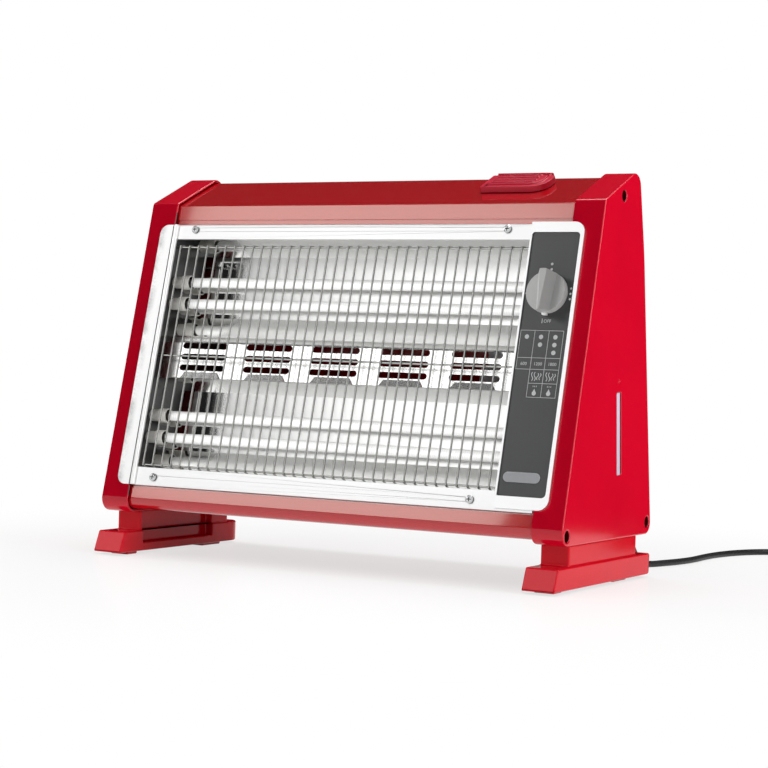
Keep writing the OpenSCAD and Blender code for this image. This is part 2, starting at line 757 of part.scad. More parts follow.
// Lid: a lipped plate with ribs, and three knuckles on the hinge pin
lid_h0 = -cover_step + 0.4;
lid_h1 = 3;
knuckle_w = 10;
knuckle_mid = [lug_x[0] + lug_w/2 + seat, lug_x[1] - lug_w/2 - seat];
knuckles = [[lug_x[0] - lug_w/2 - seat - knuckle_w, knuckle_w],
    [knuckle_mid[0], knuckle_mid[1] - knuckle_mid[0]], [lug_x[1] + lug_w/2 + seat, knuckle_w]];
rib_t = [9, 16, 23, 30];
module tank_lid() {
    color(red_gloss) difference() {
        union() {
            on_top(lid_x0, lid_t0, lid_h0) linear_extrude(lid_h1 - lid_h0)
                round_rect(lid_w, lid_len - lug_d/2 - 0.6, [2, 18, 8, 2]);
            on_top(lid_x0 + 5, lid_t0 + 5, lid_h1 - 0.5) linear_extrude(2)
                round_rect(lid_w - 12, lid_len - 13, [2, 12, 5, 2]);
            for (t = rib_t) on_top(lid_x0 + 10, lid_t0 + t - 1, lid_h1 + 1) cube([lid_w - 24, 2, 1.3]);
            on_top(lid_x0 + 6, lid_t0 + lid_len - lug_d/2 - 2.9, lid_h1 - 0.3) cube([lid_w - 14, 2, 2.6]);
            for (k = knuckles) on_top(k[0], hinge_t, hinge_h) rotate([0, 90, 0]) union() {
                cylinder(d = lug_d, h = k[1]);
                translate([-lug_d/2, -lug_d/2 - 3, 0]) cube([lug_d, lug_d/2 + 3, k[1]]);
            }
        }
        on_top(lid_x0 + 2.5, lid_t0 + 2.5, lid_h0 - 1) linear_extrude(4)
            round_rect(lid_w - 5, lid_len - lug_d/2 - 8, [1, 15.5, 4, 1]);
        on_top(lid_x0, hinge_t, hinge_h) rotate([0, 90, 0])
            cylinder(d = pin_d + 2*run_fit, h = lid_w);
    }
}
module lid_hinge_pin() {
    color(chrome) on_top(knuckles[0][0] + 0.5, hinge_t, hinge_h) rotate([0, 90, 0])
        cylinder(d = pin_d, h = knuckles[2][0] + knuckle_w - knuckles[0][0] - 1);
}
module level_window() {
    color([0.86, 0.84, 0.93]) union() {
        along_x(half_w - cap_wall - 1, half_w - 0.8) window_shape(-0.2);
        along_x(half_w - cap_wall - 2.5, half_w - cap_wall) window_shape(2.5);
    }
}

// Screws
module rail_screws() {
    color(chrome) for (x = rail_screw_x, s = rail_screw_s) on_front(x, s) difference() {
        union() {
            translate([0, 0, -15]) cylinder(d = 3.5, h = 15.5);
            cylinder(d = rail_screw_d, h = 1.4);
            translate([0, 0, 1.4]) cylinder(d1 = rail_screw_d, d2 = rail_screw_d - 3, h = 1);
        }
        for (a = [0, 90]) rotate(a) translate([-2.4, -0.5, 1.2]) cube([4.8, 1, 3]);
    }
}
module cap_screw() {
    difference() {
        union() {
            cylinder(d = cap_screw_head_d, h = 2.6);
            translate([0, 0, -14]) cylinder(d = screw_d, h = 14.5);
        }
        for (a = [0, 90]) rotate(a) translate([-2.2, -0.5, 1.2]) cube([4.4, 1, 3]);
    }
}
module cap_screws() {
    color(chrome) for (side = [0, 1]) mirror([side, 0, 0]) for (p = cap_screw_at)
        translate([half_w - well_depth, p.x, p.y]) rotate([0, 90, 0]) cap_screw();
}
module foot_screws() {
    color(chrome) for (side = [0, 1]) mirror([side, 0, 0]) for (y = foot_screw_y)
        translate([foot_screw_x, y, foot_top - 6]) mirror([0, 0, 1]) union() {
            cylinder(d = 8, h = 2.6);
            translate([0, 0, -34]) cylinder(d = screw_d, h = 34.5);
        }
}

// Cord: a tapered gland on the back, a stretch on the floor, a tied coil and a plug
gland_len = 24;
gland_pt = [gland_x, back_y(gland_z) - cover_step/cos(back_lean), gland_z];
gland_way = [0, cos(back_lean), sin(back_lean)];
cord_r = cord_d/2;
cord_sides = 10;
module cord_gland() {
    color(black) on_back(gland_x, gland_z) union() {
        translate([0, 0, -5]) cylinder(d = gland_hole_d - 0.4, h = 6);
        cylinder(d = 18, h = 3);
        translate([0, 0, 3]) cylinder(d1 = 15, d2 = cord_d + 3, h = gland_len - 3);
    }
}

// Coil on the floor: two layers, in towards the middle and out again
coil_mid = [352, 430];
coil_z = 5;
layer_z = 7.6;
coil_start = 100;
coil_turn = 1540;
coil_rings = 24;
plug_z = 19.2;
function ease(u) = let (v = min(max(u, 0), 1)) v*v*(3 - 2*v);
function coil_radius(a) = coil_r - coil_step*(coil_turn/2 - abs(a - coil_turn/2))/360;
function coil_pt(a) = let (q = coil_start - a, r = coil_radius(a))
    [coil_mid.x + r*cos(q), coil_mid.y + r*sin(q),
        coil_z + layer_z*ease((a - coil_turn/2 + 90)/180)
            + (plug_z - coil_z - layer_z)*ease((a - coil_turn + 150)/140)];
coil_steps = round(coil_turn*coil_rings/360);
coil_way_in = unit([sin(coil_start), -cos(coil_start), 0]);
coil_end = coil_pt(coil_turn);
coil_way_out = [0, -1, 0];
coil_path = concat([coil_pt(0) - coil_way_in*cord_d],
    [for (k = [0:coil_steps]) coil_pt(k*coil_turn/coil_steps)],
    [coil_end + coil_way_out*cord_d]);

// Route of the cord from the gland to the coil
gland_end = gland_pt + gland_way*gland_len;
route = concat([gland_end, gland_end + gland_way*4, gland_end + gland_way*8],
    [[222, 158, 68], [222, 170, 48],
    [223, 182, 24], [226, 196, 8.5], [231, 212, 3.6], [240, 236, 3.6], [247, 266, 3.6],
    [250, 300, 3.6], [249, 340, 3.6], [251, 378, 3.6], [259, 416, 3.6], [275, 446, 3.8],
    [301, 464, 4.4]],
    [for (back = [10, 5, 0]) coil_path[0] - coil_way_in*back]);

// Points of a smooth line through the route, n to each stretch
function spline(p, q, r, s, u) = 0.5*((2*q) + (r - p)*u + (2*p - 5*q + 4*r - s)*u*u
    + (3*q - p - 3*r + s)*u*u*u);
function smooth(pts, n) = let (last = len(pts) - 1) concat(
    [for (i = [0:last - 1], k = [0:n - 1]) spline(pts[max(i - 1, 0)], pts[i], pts[i + 1],
        pts[min(i + 2, last)], k/n)], [pts[last]]);

// Tube swept along a line of points
function tangent(pts, i) = unit(pts[min(i + 1, len(pts) - 1)] - pts[max(i - 1, 0)]);
function ring(c, w, r, n) = let (a = unit(abs(w.z) < 0.9 ? cross(w, [0, 0, 1]) : cross(w, [1, 0, 0])),
        b = cross(a, w))
    [for (k = [0:n - 1]) c + r*(cos(360*k/n)*a + sin(360*k/n)*b)];
module tube(pts, r, n) {
    m = len(pts);
    polyhedron([for (i = [0:m - 1]) each ring(pts[i], tangent(pts, i), r, n)],
        concat([[for (k = [0:n - 1]) k]], [[for (k = [n - 1:-1:0]) (m - 1)*n + k]],
            [for (i = [0:m - 2], k = [0:n - 1]) each [
                [i*n + k, (i + 1)*n + k, (i + 1)*n + (k + 1) % n],
                [i*n + k, (i + 1)*n + (k + 1) % n, i*n + (k + 1) % n]]]));
}
// Least distance between turns of the coil, less the cord itself
coil_gap = min([for (i = [0:len(coil_path) - 1], k = [0:len(coil_path) - 1])
    if (k - i > 10) norm(coil_path[i] - coil_path[k])]) - cord_d;
echo(coil_gap = coil_gap);

module power_cord() { color(black) tube(smooth(route, 3), cord_r, cord_sides); }
module cord_coil() { color(black) tube(coil_path, cord_r, 6); }

tie_at = 275;
tie_w = 5;
tie_t = 0.8;
module cord_tie() {
    r0 = coil_r - coil_step*2.4 - cord_r;
    r1 = coil_r + cord_r + 0.6;
    z0 = coil_z - cord_r - 0.3;
    z1 = coil_z + layer_z + cord_r + 0.4;
    color(black) translate([coil_mid.x, coil_mid.y, 0]) rotate(tie_at) rotate([90, 0, 0])
        translate([0, 0, -tie_w/2]) linear_extrude(tie_w) difference() {
            translate([r0 - tie_t, z0 - tie_t]) square([r1 - r0 + 2*tie_t, z1 - z0 + 2*tie_t]);
            translate([r0, z0]) square([r1 - r0, z1 - z0]);
        }
}

plug_d = 37;
plug_len = 34;
relief_len = 28;
plug_from = coil_path[len(coil_path) - 1];
module on_plug() { translate(plug_from) rotate([90, 0, 0]) children(); }
module plug_body() {
    color(black) on_plug() difference() {
        union() {
            cylinder(d1 = cord_d + 2, d2 = 15, h = relief_len);
            translate([0, 0, relief_len - 1]) cylinder(d1 = 22, d2 = plug_d, h = 9);
            translate([0, 0, relief_len + 8]) cylinder(d = plug_d, h = plug_len - 9);
        }
        for (x = [-9.5, 9.5]) translate([x, 0, relief_len + plug_len - 12]) cylinder(d = 4.8, h = 20);
    }
}
module plug_pins() {
    color(brass) on_plug() for (x = [-9.5, 9.5])
        translate([x, 0, relief_len + plug_len - 12]) cylinder(d = 4.8, h = 31);
}

left_end_cap();
right_end_cap();
top_cover();
rear_cover();
bottom_cover();
left_foot();
right_foot();
left_side_plate();
right_side_plate();
control_partition();
left_stile();
top_rail();
bottom_rail();
guard_grille();
upper_reflector();
lower_reflector();
vent_plate();
quartz_tube_1();
quartz_tube_2();
quartz_tube_3();
quartz_tube_4();
heating_coils();
ceramic_ends();
control_fascia();
control_plate();
rotary_switch();
switch_spindle();
knob();
thermal_cutout();
tilt_switch();
terminal_block();
water_tank();
tank_lid();
lid_hinge_pin();
level_window();
rail_screws();
cap_screws();
foot_screws();
cord_gland();
power_cord();
cord_coil();
cord_tie();
plug_body();
plug_pins();
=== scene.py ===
"""Looks of a free-standing quartz heater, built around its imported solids.

Sizes are in millimetres and become metres where a point is made; finishes, lamps, cards and the floor
are written in metres. X runs along the front, the front faces -Y and Z is up. The leaning front is
described by x, by s (up the lean from the front crease) and by d (depth behind the face of the end caps).
"""

import logging
import math
from dataclasses import dataclass, field
from enum import Enum
from math import cos, radians, sin
from typing import Any, Dict, List, Mapping, Optional, Sequence, Tuple, Union

import bmesh
import bpy
from mathutils import Matrix, Vector

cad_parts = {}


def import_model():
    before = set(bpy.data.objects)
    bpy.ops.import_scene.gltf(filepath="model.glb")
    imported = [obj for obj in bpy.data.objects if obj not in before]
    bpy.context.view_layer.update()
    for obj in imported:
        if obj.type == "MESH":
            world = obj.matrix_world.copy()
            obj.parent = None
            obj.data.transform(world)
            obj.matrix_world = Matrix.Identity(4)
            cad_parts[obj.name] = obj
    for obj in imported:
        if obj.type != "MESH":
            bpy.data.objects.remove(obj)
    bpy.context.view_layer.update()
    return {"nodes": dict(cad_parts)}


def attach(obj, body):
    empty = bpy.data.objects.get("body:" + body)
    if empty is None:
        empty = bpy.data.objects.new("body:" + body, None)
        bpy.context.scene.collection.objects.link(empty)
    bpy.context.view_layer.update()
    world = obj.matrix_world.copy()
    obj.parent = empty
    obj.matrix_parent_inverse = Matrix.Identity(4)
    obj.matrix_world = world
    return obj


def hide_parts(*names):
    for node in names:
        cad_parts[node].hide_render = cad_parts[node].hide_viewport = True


LOG = logging.getLogger("quartz_heater")
MM = 0.001
WHITE = (1.0, 1.0, 1.0)
SOFT_EDGE = 0.0002

Colour = Tuple[float, float, float]
Names = Tuple[str, ...]
Point2 = Tuple[float, float]
Point3 = Tuple[float, float, float]
Span = Tuple[float, float]
Triple = Tuple[float, float, float]
Edges = Tuple[float, float, float, float]
SocketInput = Union[int, float, "Signal", Sequence[float]]
Sockets = Mapping[Union[str, int], SocketInput]


def metres(point: Sequence[float]) -> Vector:
    """Turn a point in millimetres into a vector in metres."""
    return Vector(point) * MM


def to_scene(name: str, data: Any) -> bpy.types.Object:
    """Make an object of some data and link it to the scene.

    Args:
        name: Name of the object.
        data: Its mesh, curve, lamp or camera.

    Returns:
        The object.
    """
    made = bpy.data.objects.new(name, data)
    bpy.context.scene.collection.objects.link(made)
    return made


class Body(Enum):
    """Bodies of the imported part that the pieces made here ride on."""

    HOUSING = "housing"


class Reach(Enum):
    """What a lamp does with the pieces that it names."""

    ONLY = "INCLUDE"
    SPARE = "EXCLUDE"


class Signal:
    """One output of a shader graph that is used like a number in sums and products."""

    def __init__(self, graph: "Graph", socket: bpy.types.NodeSocket) -> None:
        """Remember the graph and the output socket."""
        self.graph = graph
        self.socket = socket

    def _math(self, operation: str, first: SocketInput, second: SocketInput = 0.0) -> "Signal":
        """Add one Math node and take its result."""
        return self.graph.take("ShaderNodeMath", {"operation": operation}, {0: first, 1: second})

    def __add__(self, other: SocketInput) -> "Signal":
        """Sum of two values."""
        return self._math("ADD", self, other)

    def __radd__(self, other: SocketInput) -> "Signal":
        """Sum with a number on the left."""
        return self._math("ADD", other, self)

    def __sub__(self, other: SocketInput) -> "Signal":
        """Difference of two values."""
        return self._math("SUBTRACT", self, other)

    def __rsub__(self, other: SocketInput) -> "Signal":
        """Difference with a number on the left."""
        return self._math("SUBTRACT", other, self)

    def __mul__(self, other: SocketInput) -> "Signal":
        """Product of two values."""
        return self._math("MULTIPLY", self, other)

    def __rmul__(self, other: SocketInput) -> "Signal":
        """Product with a number on the left."""
        return self._math("MULTIPLY", other, self)

    def __pow__(self, other: SocketInput) -> "Signal":
        """Power of a value."""
        return self._math("POWER", self, other)

    def sine(self) -> "Signal":
        """Sine of the value in radians."""
        return self._math("SINE", self)

    def larger(self, other: SocketInput) -> "Signal":
        """Larger of two values."""
        return self._math("MAXIMUM", self, other)

    def step(self, low: float, high: float) -> "Signal":
        """Smooth step of the value from 0 at low to 1 at high."""
        sockets = {"Value": self, "From Min": low, "From Max": high, "To Min": 0.0, "To Max": 1.0}
        return self.graph.take("ShaderNodeMapRange", {"interpolation_type": "SMOOTHSTEP"}, sockets)

    def between(self, low: float, high: float, soft: float = SOFT_EDGE) -> "Signal":
        """1 between two values and 0 past them, with soft edges inside."""
        return self.step(low, low + soft) * (1.0 - self.step(high - soft, high))


class Graph:
    """Shader graph of one material or of the world."""

    def __init__(self, tree: bpy.types.NodeTree) -> None:
        """Start with an empty tree.

        Args:
            tree: Node tree of the material or the world.
        """
        self.tree = tree
        self.tree.nodes.clear()
        self._coords: Optional[Signal] = None

    def node(self, kind: str, settings: Mapping[str, Any], sockets: Sockets) -> bpy.types.Node:
        """Add a node, set its settings, then fill or link its sockets.

        Args:
            kind: Type of the node.
            settings: Attributes, set first.
            sockets: Values or links by socket name or number.

        Returns:
            The new node.
        """
        node = self.tree.nodes.new(kind)
        for key, value in settings.items():
            setattr(node, key, value)
        for key, value in sockets.items():
            socket = self._find(node.inputs, key)
            if isinstance(value, Signal):
                self.tree.links.new(value.socket, socket)
            elif isinstance(value, (int, float)):
                socket.default_value = float(value)
            else:
                socket.default_value = (*value, 1.0)[: len(socket.default_value)]
        return node

    @staticmethod
    def _find(sockets: Any, key: Union[str, int]) -> bpy.types.NodeSocket:
        """Find a socket by number, or by name among those in use; no name means the first."""
        named = (socket for socket in sockets if socket.enabled and key in ("", socket.name))
        return sockets[key] if isinstance(key, int) else next(named)

    def outputs(self, node: bpy.types.Node, *names: str) -> List[Signal]:
        """Outputs of a node by their names; an empty name means the first one in use."""
        return [Signal(self, self._find(node.outputs, name)) for name in names]

    def take(self, kind: str, settings: Mapping[str, Any], sockets: Sockets, name: str = "") -> Signal:
        """Add a node and take its named output, or the first one in use."""
        return self.outputs(self.node(kind, settings, sockets), name)[0]

    def coords(self) -> Signal:
        """Place on the piece in its own frame, in metres."""
        if self._coords is None:
            self._coords = self.take("ShaderNodeTexCoord", {}, {}, "Object")
        return self._coords

    def place(self) -> List[Signal]:
        """X, Y and Z of the place on the piece, in metres."""
        return self.outputs(self.node("ShaderNodeSeparateXYZ", {}, {"Vector": self.coords()}), *"XYZ")

    def vector(self, operation: str, first: SocketInput, second: SocketInput) -> Signal:
        """Combine two vectors by a Vector Math node."""
        return self.take("ShaderNodeVectorMath", {"operation": operation}, {0: first, 1: second})

    def noise(self, scale: float, detail: float = 2.0, stretch: Point3 = (1.0, 1.0, 1.0)) -> Signal:
        """Cloudy noise between 0 and 1.

        Args:
            scale: Clouds in a metre.
            detail: Number of finer layers.
            stretch: Factors on the place along X, Y and Z.

        Returns:
            The noise.
        """
        place = self.vector("MULTIPLY", self.coords(), stretch)
        sockets = {"Vector": place, "Scale": scale, "Detail": detail, "Roughness": 0.55}
        return self.take("ShaderNodeTexNoise", {"noise_dimensions": "3D"}, sockets)

    def cells(self, scale: float) -> Signal:
        """Random grey of each cell in a field with so many cells in a metre."""
        colour = self.take("ShaderNodeTexVoronoi", {}, {"Vector": self.coords(), "Scale": scale}, "Color")
        return self.take("ShaderNodeRGBToBW", {}, {"Color": colour})

    def rods(self, axes: Sequence[Point2], radius: float) -> SocketInput:
        """Share that is 1 within a radius of lines along X.

        Args:
            axes: Y and Z of the lines, in metres.
            radius: The radius, in metres.

        Returns:
            The share.
        """
        _, y, z = self.place()
        near: SocketInput = 0.0
        for axis_y, axis_z in axes:
            away = ((y - axis_y) * (y - axis_y) + (z - axis_z) * (z - axis_z)) ** 0.5
            near = near + (1.0 - away.step(radius, radius + SOFT_EDGE))
        return near

    def seen(self) -> Signal:
        """1 for rays from the camera, from mirroring and from clear surfaces, 0 for others.

        Returns:
            The share.
        """
        path = self.node("ShaderNodeLightPath", {}, {})
        names = ("Is Camera Ray", "Is Transmission Ray", "Is Glossy Ray")
        camera, clear, mirror = self.outputs(path, *names)
        return camera.larger(clear).larger(mirror)

    def blend(self, factor: SocketInput, first: SocketInput, second: SocketInput) -> Signal:
        """Mix two colours; the factor is the share of the second."""
        settings = {"data_type": "RGBA", "clamp_factor": True}
        return self.take("ShaderNodeMix", settings, {"Factor": factor, "A": first, "B": second})

    def bump(self, height: SocketInput, strength: float, depth_mm: float) -> Signal:
        """Surface normal tilted by a height between 0 and 1, which is depth_mm high at 1."""
        sockets = {"Height": height, "Strength": strength, "Distance": depth_mm * MM}
        return self.take("ShaderNodeBump", {}, sockets)

    def surface(
        self,
        colour: SocketInput,
        roughness: SocketInput,
        normal: Optional[Signal] = None,
        metallic: float = 0.0,
        reflect: float = 0.5,
        coat: SocketInput = 0.0,
        coat_roughness: float = 0.03,
    ) -> None:
        """Finish the graph with a Principled shader.

        Args:
            colour: Base colour.
            roughness: Roughness.
            normal: Tilted normal, if the surface has a relief.
            metallic: 1 for bare metal.
            reflect: Strength of the mirroring skin.
            coat: Weight of the clear coat.
            coat_roughness: Roughness of the clear coat.
        """
        sockets: Dict[Union[str, int], SocketInput] = {
            "Base Color": colour,
            "Roughness": roughness,
            "Metallic": metallic,
            "Specular IOR Level": reflect,
            "Coat Weight": coat,
            "Coat Roughness": coat_roughness,
        }
        if normal is not None:
            sockets["Normal"] = normal
        shader = self.take("ShaderNodeBsdfPrincipled", {}, sockets)
        self.node("ShaderNodeOutputMaterial", {}, {"Surface": shader})


@dataclass(frozen=True)
class FrontPlane:
    """The leaning front face.

    Attributes:
        lean: Lean from upright, in degrees.
        crease_y: Y of the front crease.
        crease_z: Z of the front crease.
    """

    lean: float = 13.7
    crease_y: float = -108.0
    crease_z: float = 58.7

    def point(self, x: float, s: float, d: float) -> Vector:
        """Point of the front.

        Args:
            x: Place along the front.
            s: Distance up the lean.
            d: Depth behind the face.

        Returns:
            The point in metres.
        """
        rise, run = cos(radians(self.lean)), sin(radians(self.lean))
        return metres((x, self.crease_y + run * s + rise * d, self.crease_z + rise * s - run * d))

    def matrix(self, x: float, s: float, d: float) -> Matrix:
        """Frame at a point: X along the front, Y up the lean, Z outwards."""
        turn = Matrix.Rotation(radians(90.0 - self.lean), 4, "X")
        return Matrix.Translation(self.point(x, s, d)) @ turn

    def place(self, graph: Graph) -> Tuple[Signal, Signal]:
        """Place of a surface up the lean and behind the face.

        Args:
            graph: Graph of the surface's material.

        Returns:
            Its s and d, in metres.
        """
        _, y, z = graph.place()
        rise, run = cos(radians(self.lean)), sin(radians(self.lean))
        back, up = y - self.crease_y * MM, z - self.crease_z * MM
        return back * run + up * rise, back * rise - up * run


FRONT = FrontPlane()


@dataclass(frozen=True)
class Finish:
    """A finish of the heater; each kind fills its own shader graph."""

    name: str
    colour: Colour

    def material(self) -> bpy.types.Material:
        """Make the material once and give it back.

        Returns:
            The Blender material.
        """
        made = bpy.data.materials.get(self.name)
        if made is None:
            made = bpy.data.materials.new(self.name)
            made.use_nodes = True
            made.diffuse_color = (*self.colour, 1.0)
            self.fill(Graph(made.node_tree))
        return made

    def fill(self, graph: Graph) -> None:
        """Fill the empty shader graph of the material."""
        raise NotImplementedError(self.name)

    def painted(self, graph: Graph, plain: Signal) -> Signal:
        """Colour with what is painted or shaded on it; nothing on a plain finish."""
        return plain

    def shade(self, factor: float) -> Colour:
        """The finish's colour made darker or lighter."""
        return tuple(min(part * factor, 1.0) for part in self.colour)


@dataclass(frozen=True)
class MouldedGloss(Finish):
    """Coloured moulding with a shallow grain, flow marks and a glossy skin."""

    gloss: float = 0.08
    grain: float = 0.04
    reflect: float = 0.5

    def fill(self, graph: Graph) -> None:
        """Fill the graph: flow marks in the colour, grain in the gloss and the surface.

        Args:
            graph: Empty graph of the material.
        """
        flow = graph.noise(14.0, 3.0, (1.0, 0.45, 0.45))
        grain = graph.noise(1400.0)
        peel = graph.noise(190.0, 1.0)
        tint = graph.blend(flow.step(0.25, 0.8), self.shade(0.93), self.shade(1.05))
        graph.surface(
            self.painted(graph, tint),
            self.gloss + 0.03 * flow + 0.03 * grain,
            reflect=self.reflect,
            normal=graph.bump(peel + 0.35 * grain, self.grain, 0.25),
        )


@dataclass(frozen=True)
class CapMoulding(MouldedGloss):
    """Skin of the end caps, with painted shade in the screw wells and on the inner side behind the front.

    Attributes:
        wells: Y and Z of the screw wells' axes.
        well_r: Radius of a well, inside which shade is painted.
        mouth_x: Distances from the middle over which a well ends in the outer face.
        inner_x: Distances from the middle over which the painted shade on the inner side ends.
        inner_s: Ends of that painted shade up the lean, and the width of their fade.
        inner_front: Depths over which that painted shade starts behind the front.
        inner_back: Depths over which it ends.
    """

    wells: Tuple[Point2, ...] = ((-0.09634, 0.05506), (0.01648, 0.38751), (0.10484, 0.058))
    well_r: float = 0.0058
    mouth_x: Span = (0.2691, 0.2696)
    inner_x: Span = (0.2520, 0.2523)
    inner_s: Triple = (0.004, 0.322, 0.002)
    inner_front: Span = (0.0003, 0.0006)
    inner_back: Span = (0.060, 0.062)

    def painted(self, graph: Graph, plain: Signal) -> Signal:
        """Paint shade into the wells and onto the inner side of the front.

        Args:
            graph: Graph of the material.
            plain: Colour of the polished skin.

        Returns:
            The colour.
        """
        x = graph.place()[0]
        out = x.larger(x * -1.0)
        # Painted shade: the screw wells and the inner side behind the front turn nearly black-red.
        wells = graph.rods(self.wells, self.well_r) * (1.0 - out.step(*self.mouth_x))
        up, behind = FRONT.place(graph)
        deep = behind.step(*self.inner_front) * (1.0 - behind.step(*self.inner_back))
        inner = deep * up.between(*self.inner_s) * (1.0 - out.step(*self.inner_x))
        return graph.blend(wells.larger(inner), plain, self.shade(0.1))


@dataclass(frozen=True)
class Enamel(Finish):
    """Baked paint on folded sheet, with a little orange peel under a clear coat."""

    gloss: float = 0.1
    coat: float = 0.9

    def fill(self, graph: Graph) -> None:
        """Fill the graph: slow waves of the sheet, orange peel and fine dust in the gloss.

        Args:
            graph: Empty graph of the material.
        """
        wave = graph.noise(6.0, 1.0, (0.35, 1.0, 1.0))
        peel = graph.noise(320.0, 1.0)
        dust = graph.noise(2600.0, 1.0).step(0.62, 0.8)
        graph.surface(
            graph.blend(wave.step(0.3, 0.75), self.shade(0.95), self.shade(1.04)),
            self.gloss + 0.06 * dust + 0.04 * wave,
            reflect=0.4,
            coat=self.coat - 0.1 * dust,
            coat_roughness=0.05,
            normal=graph.bump(peel * 0.12 + wave, 0.05, 1.5),
        )


@dataclass(frozen=True)
class RolledSheet(Finish):
    """Bright rolled sheet with fine rolling lines and slow waves from its folding.

    Attributes:
        gloss: Roughness of the clean sheet.
        lines: Strength of the rolling lines.
        waves: Strength of the waves.
        stains: Strength of the heat stains.
        haze: Roughness added away from the left end.
        clear: X over which the haze sets in.
    """

    gloss: float
    lines: float
    waves: float
    stains: float = 0.0
    haze: float = 0.0
    clear: Span = (-0.184, -0.150)

    def fill(self, graph: Graph) -> None:
        """Fill the graph: rolling lines along X, slow waves, faint heat stains and haze off the end.

        Args:
            graph: Empty graph of the material.
        """
        hazy = graph.place()[0].step(*self.clear)
        line = graph.noise(1.0, 3.0, (7.0, 950.0, 950.0))
        wave = graph.noise(1.0, 1.0, (7.0, 26.0, 26.0))
        stain = graph.noise(22.0, 3.0).step(0.45, 0.85)
        graph.surface(
            graph.blend(stain * self.stains * 4.0, self.colour, self.shade(0.86)),
            self.gloss + self.lines * line + self.stains * stain + self.haze * hazy,
            metallic=1.0,
            normal=graph.bump(wave + 0.02 * line, self.waves, 1.2),
        )


@dataclass(frozen=True)
class StileSheet(Finish):
    """Bright sheet with a blotched outer edge and painted shade in the groove beside its bead.

    Attributes:
        blot: X over which the blotches fade.
        groove: X of the groove's two sides.
    """

    blot: Span = (-0.2515, -0.2415)
    groove: Span = (-0.2361, -0.2347)

    def fill(self, graph: Graph) -> None:
        """Fill the graph: blotches that fade away from the outer edge, and painted shade in the groove.

        Args:
            graph: Empty graph of the material.
        """
        x = graph.place()[0]
        slow = graph.noise(38.0, 1.0).step(0.42, 0.62)
        fine = graph.noise(520.0, 3.0).step(0.40, 0.66)
        blotch = (0.65 * slow + 0.35 * fine) * (1.0 - x.step(*self.blot))
        tint = graph.blend(0.8 * blotch, self.colour, self.shade(0.5))
        # Painted shade: the groove beside the bead is made nearly black.
        dark = graph.blend(x.between(*self.groove), tint, self.shade(0.08))
        graph.surface(dark, 0.4 + 0.05 * blotch, metallic=1.0)


@dataclass(frozen=True)
class GalvanisedSheet(Finish):
    """Plain zinc-coated steel with its spangle."""

    gloss: float = 0.38

    def fill(self, graph: Graph) -> None:
        """Fill the graph: spangle cells in colour and gloss.

        Args:
            graph: Empty graph of the material.
        """
        spangle = graph.cells(160.0)
        smear = graph.noise(40.0, 3.0)
        graph.surface(
            graph.blend(0.6 * spangle + 0.3 * smear, self.shade(0.82), self.shade(1.08)),
            self.gloss + 0.12 * spangle,
            metallic=1.0,
            normal=graph.bump(smear, 0.1, 0.4),
        )


@dataclass(frozen=True)
class PlatedMetal(Finish):
    """Chrome or brass plating on wire, screws and pins, with faint drawing marks."""

    gloss: float = 0.14

    def fill(self, graph: Graph) -> None:
        """Fill the graph: drawing marks and slight dulling.

        Args:
            graph: Empty graph of the material.
        """
        mark = graph.noise(900.0)
        dull = graph.noise(70.0).step(0.4, 0.8)
        graph.surface(
            graph.blend(0.5 * dull, self.colour, self.shade(0.8)),
            self.gloss + 0.08 * mark + 0.08 * dull,
            metallic=1.0,
            normal=graph.bump(mark, 0.06, 0.1),
        )


@dataclass(frozen=True)
class CrossScrew(Finish):
    """Plated screw head on the leaning front, with painted shade in its cross recess and on its flank.

    Attributes:
        rim: Depths over which the painted shade starts behind the head's face, below 0 because it stands
            out.
    """

    rim: Span = (-0.00145, -0.00125)

    def fill(self, graph: Graph) -> None:
        """Fill the graph: plating on the head's face, painted shade behind its rim.

        Args:
            graph: Empty graph of the material.
        """
        behind = FRONT.place(graph)[1]
        dull = graph.noise(300.0)
        # Painted shade: everything deeper than the rim, the cross recess and the flank, turns nearly black.
        graph.surface(
            graph.blend(behind.step(*self.rim), self.colour, self.shade(0.06)),
            0.16 + 0.08 * dull,
            metallic=1.0,
            normal=graph.bump(dull, 0.05, 0.1),
        )


@dataclass(frozen=True)
class MilkyQuartz(Finish):
    """Milky fused quartz with the turns of the wire showing faintly through it, and painted shade on its
    necks.

    Attributes:
        turn: Pitch of the wire's turns.
        necks: X between which the glass has no painted shade, and the width of the fade.
        mouth_shade: Colour of the necks, painted shade where they sit in the ceramic mouths.
    """

    turn: float = 0.0026
    necks: Triple = (-0.2226, 0.1822, 0.0004)
    mouth_shade: Colour = (0.07, 0.066, 0.06)

    def fill(self, graph: Graph) -> None:
        """Fill the graph: faint bands of the wire's turns, cloudy streaks in the glass and painted shade on
        the necks.

        Args:
            graph: Empty graph of the material.
        """
        x = graph.place()[0]
        turns = (x * (2.0 * math.pi / self.turn)).sine() * 0.5 + 0.5
        cloud = graph.noise(1.0, 3.0, (18.0, 140.0, 140.0))
        tint = graph.blend(0.5 * turns + 0.4 * cloud, self.colour, self.shade(0.86))
        # Painted shade: the necks in the ceramic mouths are made nearly black.
        graph.surface(
            graph.blend(x.between(*self.necks), self.mouth_shade, tint),
            0.2 + 0.15 * cloud,
            normal=graph.bump(0.3 * turns + cloud, 0.12, 0.2),
        )


